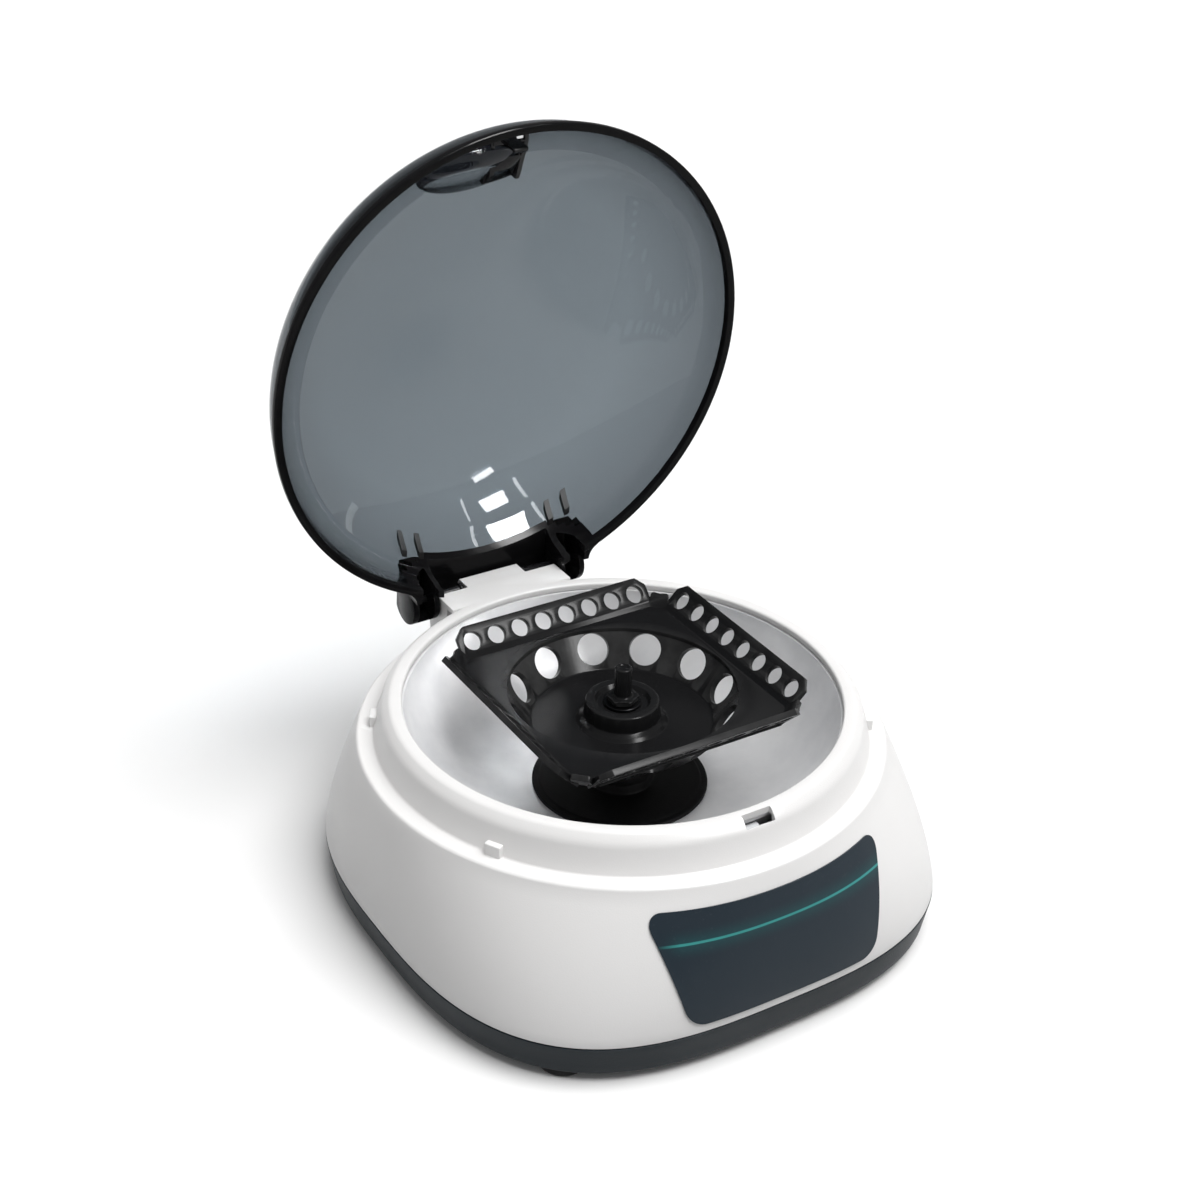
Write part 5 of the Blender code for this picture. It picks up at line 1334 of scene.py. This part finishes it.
def makeRibs():
    ribs = []
    for x in (earInner + rib["width"], earOuter - rib["width"]):
        for side in (-1, 1):
            low = (side * x - rib["width"] / 2, domeRadius / 2, coverUnderside)
            high = (side * x + rib["width"] / 2, domeRadius, coverUnderside + rib["rise"])
            ribs.append(roundBox("rib", low, high))
    limits = [spun("rib limit", [*domeCurve(inset), (0, domeStart)], lid["steps"])
              for inset in (lidWall / 2, lidWall + rib["height"])]
    group = carved(gathered(ribs), limits[0], operation="INTERSECT")
    return carved(group, limits[1])


def darkLidFace(points):
    x, y, z = sum(points, Vector()) / len(points)
    return z < rimTop + 0.0001 or (y > earFront and abs(x) < earOuter + 0.001 and z < earRoof + 0.0001)


def ribFace(points):
    x, y, z = sum(points, Vector()) / len(points)
    near = min(abs(abs(x) - across) for across in (earInner + rib["width"], earOuter - rib["width"]))
    inner = domeRadius - lidWall
    reach = (x * x + y * y) / inner**2 + ((z - domeStart) / (lid["rise"] - lidWall)) ** 2
    return near < rib["width"] / 2 + 0.00005 and y > inner / 2 and reach < 0.9985


def makeLid():
    piece = domeSolid()
    carved(piece, scoopTool(0))
    softened(piece, scoop["edge"], 3, 40)
    cover = roundBox(
        "hinge cover", (-earInner - ear["cheek"] / 2, earFront, coverUnderside),
        (earInner + ear["cheek"] / 2, hingeY + ear["coverReach"], earRoof), ear["edge"],
    )
    joined(piece, makeEar(-1), makeEar(1), makeEarFillet(-1), makeEarFillet(1), cover)
    carved(piece, lidCavity(), *earCutters())
    joined(piece, makeRibs())
    closeUp(piece)
    # the last test gives the finger recess's walls the painted shade finish
    tests = (darkLidFace, ribFace, paintedScoopShadeFace)
    for polygon in piece.data.polygons:
        points = [piece.data.vertices[i].co for i in polygon.vertices]
        polygon.material_index = next((i for i, test in enumerate(tests, 1) if test(points)), 0)
    finishes = [smokeClear, lidEdgeDark, ribSmoke, scoopShadeSmoke]
    return settled(piece, "lid", "smoke", finishes, "lid_dome", matrix=lidOpen, angle=35)


makeLid()
print("lid made")

# Hinge pins: pressed into the case, each with a head beside the knuckle
pin = dict(radius=0.0015, headRadius=0.0022, head=0.0012, root=0.0033, edge=0.0003, endGap=0.0002, steps=56)


def makePin(side, name):
    inner = hingeBlock["knuckle"] - pin["root"]
    outer = earOuter - fitGap - pin["endGap"]
    head = hingeBlock["knuckle"] + fitGap
    outline = filleted([
        (0, inner, 0), (pin["radius"], inner, pin["edge"]), (pin["radius"], head, 0),
        (pin["headRadius"], head, pin["edge"]), (pin["headRadius"], head + pin["head"], pin["edge"]),
        (pin["radius"], head + pin["head"], 0.0002), (pin["radius"], outer, pin["edge"]), (0, outer, 0),
    ])
    turn = Matrix.Rotation(side * pi / 2, 4, "Y")
    piece = moved(spun(name, outline, pin["steps"]), Matrix.Translation((0, hingeY, hingeZ)) @ turn)
    return settled(piece, "base", "dark", hingeDark, f"hinge_{name}")


makePin(-1, "pin_left")
makePin(1, "pin_right")

# Small fittings: the CAD's own shapes, with their edges rounded
fittings = (
    ("latch_hook", "latch_bracket", "lid", "dark", hingeDark, 0.00035),
    ("hook_magnet", "lid_magnet", "lid", "steel", brightSteel, 0.0002),
    ("slot_catch", "latch_catch", "catch", "grey", catchGrey, 0.0003),
    ("catch_housing", "latch_housing", "base", "grey", catchGrey, 0.0003),
    ("lid_sensor", "reed_sensor", "base", "black", blackPlastic, 0.0003),
    ("switch_frame", "switch_bezel", "base", "black", blackPlastic, 0.0004),
    ("switch_key", "switch_rocker", "switch", "black", blackPlastic, 0.0005),
    ("motor_bracket", "motor_plate", "base", "steel", turnedSteel, 0.0003),
)
for name, node, body, slotName, material, width in fittings:
    settled(softened(cadCopy(name, node), width, 3), body, slotName, material, node)


def makeInlet():
    face, radius = bayFace + fitGap, inlet["radius"]
    front = face + inlet["flange"]
    deep = face - inlet["depth"]
    outline = filleted([
        (0, deep, 0), (radius, deep, 0.0004), (radius, face, 0), (inlet["flangeRadius"], face, 0),
        (inlet["flangeRadius"], front, 0.0005), (inlet["socket"], front, inlet["edge"]),
        (inlet["socket"], deep + inlet["flange"], 0.0003),
        (inlet["pin"], deep + inlet["flange"], inlet["pinEdge"]),
        (inlet["pin"], face - inlet["flange"], 0.0003), (0, face - inlet["flange"], 0),
    ])
    turn = Matrix.Translation((inletX, 0, bayHeight)) @ Matrix.Rotation(-pi / 2, 4, "X")
    piece = moved(spun("round_inlet", outline, inlet["steps"]), turn)
    return settled(piece, "base", "black", blackPlastic, "power_inlet")


makeInlet()
print("fittings made")


# The hidden pieces keep the CAD's shape and get their finish
motorSteel = satinMetal("motorSteel", dict(
    colour=(0.55, 0.55, 0.56), shade=(0.42, 0.42, 0.43), roughness=0.36, blotchSpread=0.10,
    blotchScale=60.0, pitch=0.00022, ringDepth=0.000006, dust=0.15,
))
damperRubber = mouldedPlastic("damperRubber", dict(
    colour=(0.020, 0.020, 0.021), shade=(0.030, 0.030, 0.030), worn=(0.06, 0.06, 0.06), wear=0.7,
    roughness=0.66, grainScale=1100.0, grainDepth=0.00012, dust=0.30, dustColour=(0.14, 0.13, 0.12),
))
keptNodes = {
    "motor_can": motorSteel, "motor_shaft": brightSteel, "shaft_bearing": turnedSteel,
    "catch_pin": brightSteel, "catch_spring": brightSteel, "circuit_board": boardGreen,
}
keptNodes.update({f"motor_damper_{i}": damperRubber for i in (1, 2, 3)})
keptNodes.update({f"case_screw_{i}": blackSteel for i in (1, 2, 3, 4)})
for node, material in keptNodes.items():
    for slotPlace in nodes[node].material_slots:
        slotPlace.material = material
print("kept nodes dressed")


# Floor, lights and background
stage = dict(
    floorColour=(0.745, 0.744, 0.742), floorRoughness=0.9, floorSize=8, world=(0.985, 0.99, 1.0),
    zenith=0.32, horizon=0.46, nadir=0.47, sunPlace=(0.20, -0.25, 1.0), sunStrength=3.9, sunSpread=45,
)


def addFloor():
    deselectAll()
    bpy.ops.mesh.primitive_plane_add(size=stage["floorSize"], location=(0, 0, 0))
    floor = named("studio_floor")
    bpy.ops.object.transform_apply()
    material = bpy.data.materials.new("paleFloor")
    material.use_nodes = True
    shader = material.node_tree.nodes["Principled BSDF"]
    shader.inputs["Base Color"].default_value = (*stage["floorColour"], 1)
    shader.inputs["Roughness"].default_value = stage["floorRoughness"]
    floor.data.materials.append(material)
    floor.visible_diffuse = False


def addWorld():
    world = bpy.data.worlds.new("studio")
    bpy.context.scene.world = world
    world.use_nodes = True
    background = world.node_tree.nodes["Background"]
    background.inputs["Color"].default_value = (*stage["world"], 1)
    tree = world.node_tree
    way = addNode(tree, "ShaderNodeTexCoord").outputs["Generated"]
    height = addNode(tree, "ShaderNodeSeparateXYZ", {0: way}).outputs["Z"]
    above = ramp(tree, height, 0.0, stage["zenith"] - stage["horizon"], 0.0, 0.9)
    below = ramp(tree, height, stage["nadir"], stage["horizon"], -0.9, 0.0)
    tree.links.new(math(tree, "ADD", above, below), background.inputs["Strength"])


def addSun():
    data = bpy.data.lights.new("overhead", "SUN")
    data.energy = stage["sunStrength"]
    data.angle = radians(stage["sunSpread"])
    light = bpy.data.objects.new("overhead", data)
    bpy.context.scene.collection.objects.link(light)
    light.rotation_euler = (-Vector(stage["sunPlace"])).to_track_quat("-Z", "Y").to_euler()
    light.visible_glossy = False


# Window panes that only gloss shows: radiance, place, upward side, width and height of each
glintTarget = Vector((0.009, 0.091, 0.091))
glints = (
    (58.0, (0.380, -0.829, 0.072), (-0.322, -0.161, 0.933), 0.075, 0.038),
    (64.0, (0.340, -0.829, 0.287), (-0.232, 0.120, 0.965), 0.111, 0.131),
    (72.0, (0.244, -0.599, 0.771), (-0.177, 0.666, 0.724), 0.225, 0.680),
    (26.0, (0.460, -0.772, 0.279), (-0.069, 0.175, 0.982), 0.010, 0.221),
    (26.0, (0.462, -0.575, 0.670), (-0.027, 0.652, 0.758), 0.019, 0.566),
    (26.0, (0.228, -0.869, 0.262), (-0.353, 0.084, 0.932), 0.014, 0.220),
    (26.0, (0.083, -0.738, 0.645), (-0.297, 0.520, 0.801), 0.018, 0.470),
    (4.0, (0.945, 0.022, 0.233), (0.011, 0.934, 0.357), 0.045, 1.000),
)
# Only the lid mirrors the panes above. This one, just outside the third, is open to every piece
openPane = (20.0, (0.248, -0.608, 0.783), (-0.177, 0.666, 0.724), 0.225, 0.680)
lidGloss = bpy.data.collections.new("lid gloss")
lidGloss.objects.link(bpy.data.objects["lid_shell"])


def addGlint(radiance, place, upward, width, height):
    data = bpy.data.lights.new("pane", "AREA")
    data.shape = "RECTANGLE"
    data.size = width
    data.size_y = height
    data.energy = radiance * width * height * pi
    light = bpy.data.objects.new("pane", data)
    bpy.context.scene.collection.objects.link(light)
    back = (Vector(place) - glintTarget).normalized()
    across = Vector(upward).cross(back).normalized()
    light.rotation_euler = Matrix((across, back.cross(across), back)).transposed().to_euler()
    light.location = place
    light.visible_diffuse = False
    light.visible_camera = False
    return light


addFloor()
addWorld()
addSun()
addGlint(*openPane)
for glint in glints:
    addGlint(*glint).light_linking.receiver_collection = lidGloss
bpy.context.scene.view_settings.view_transform = "Standard"
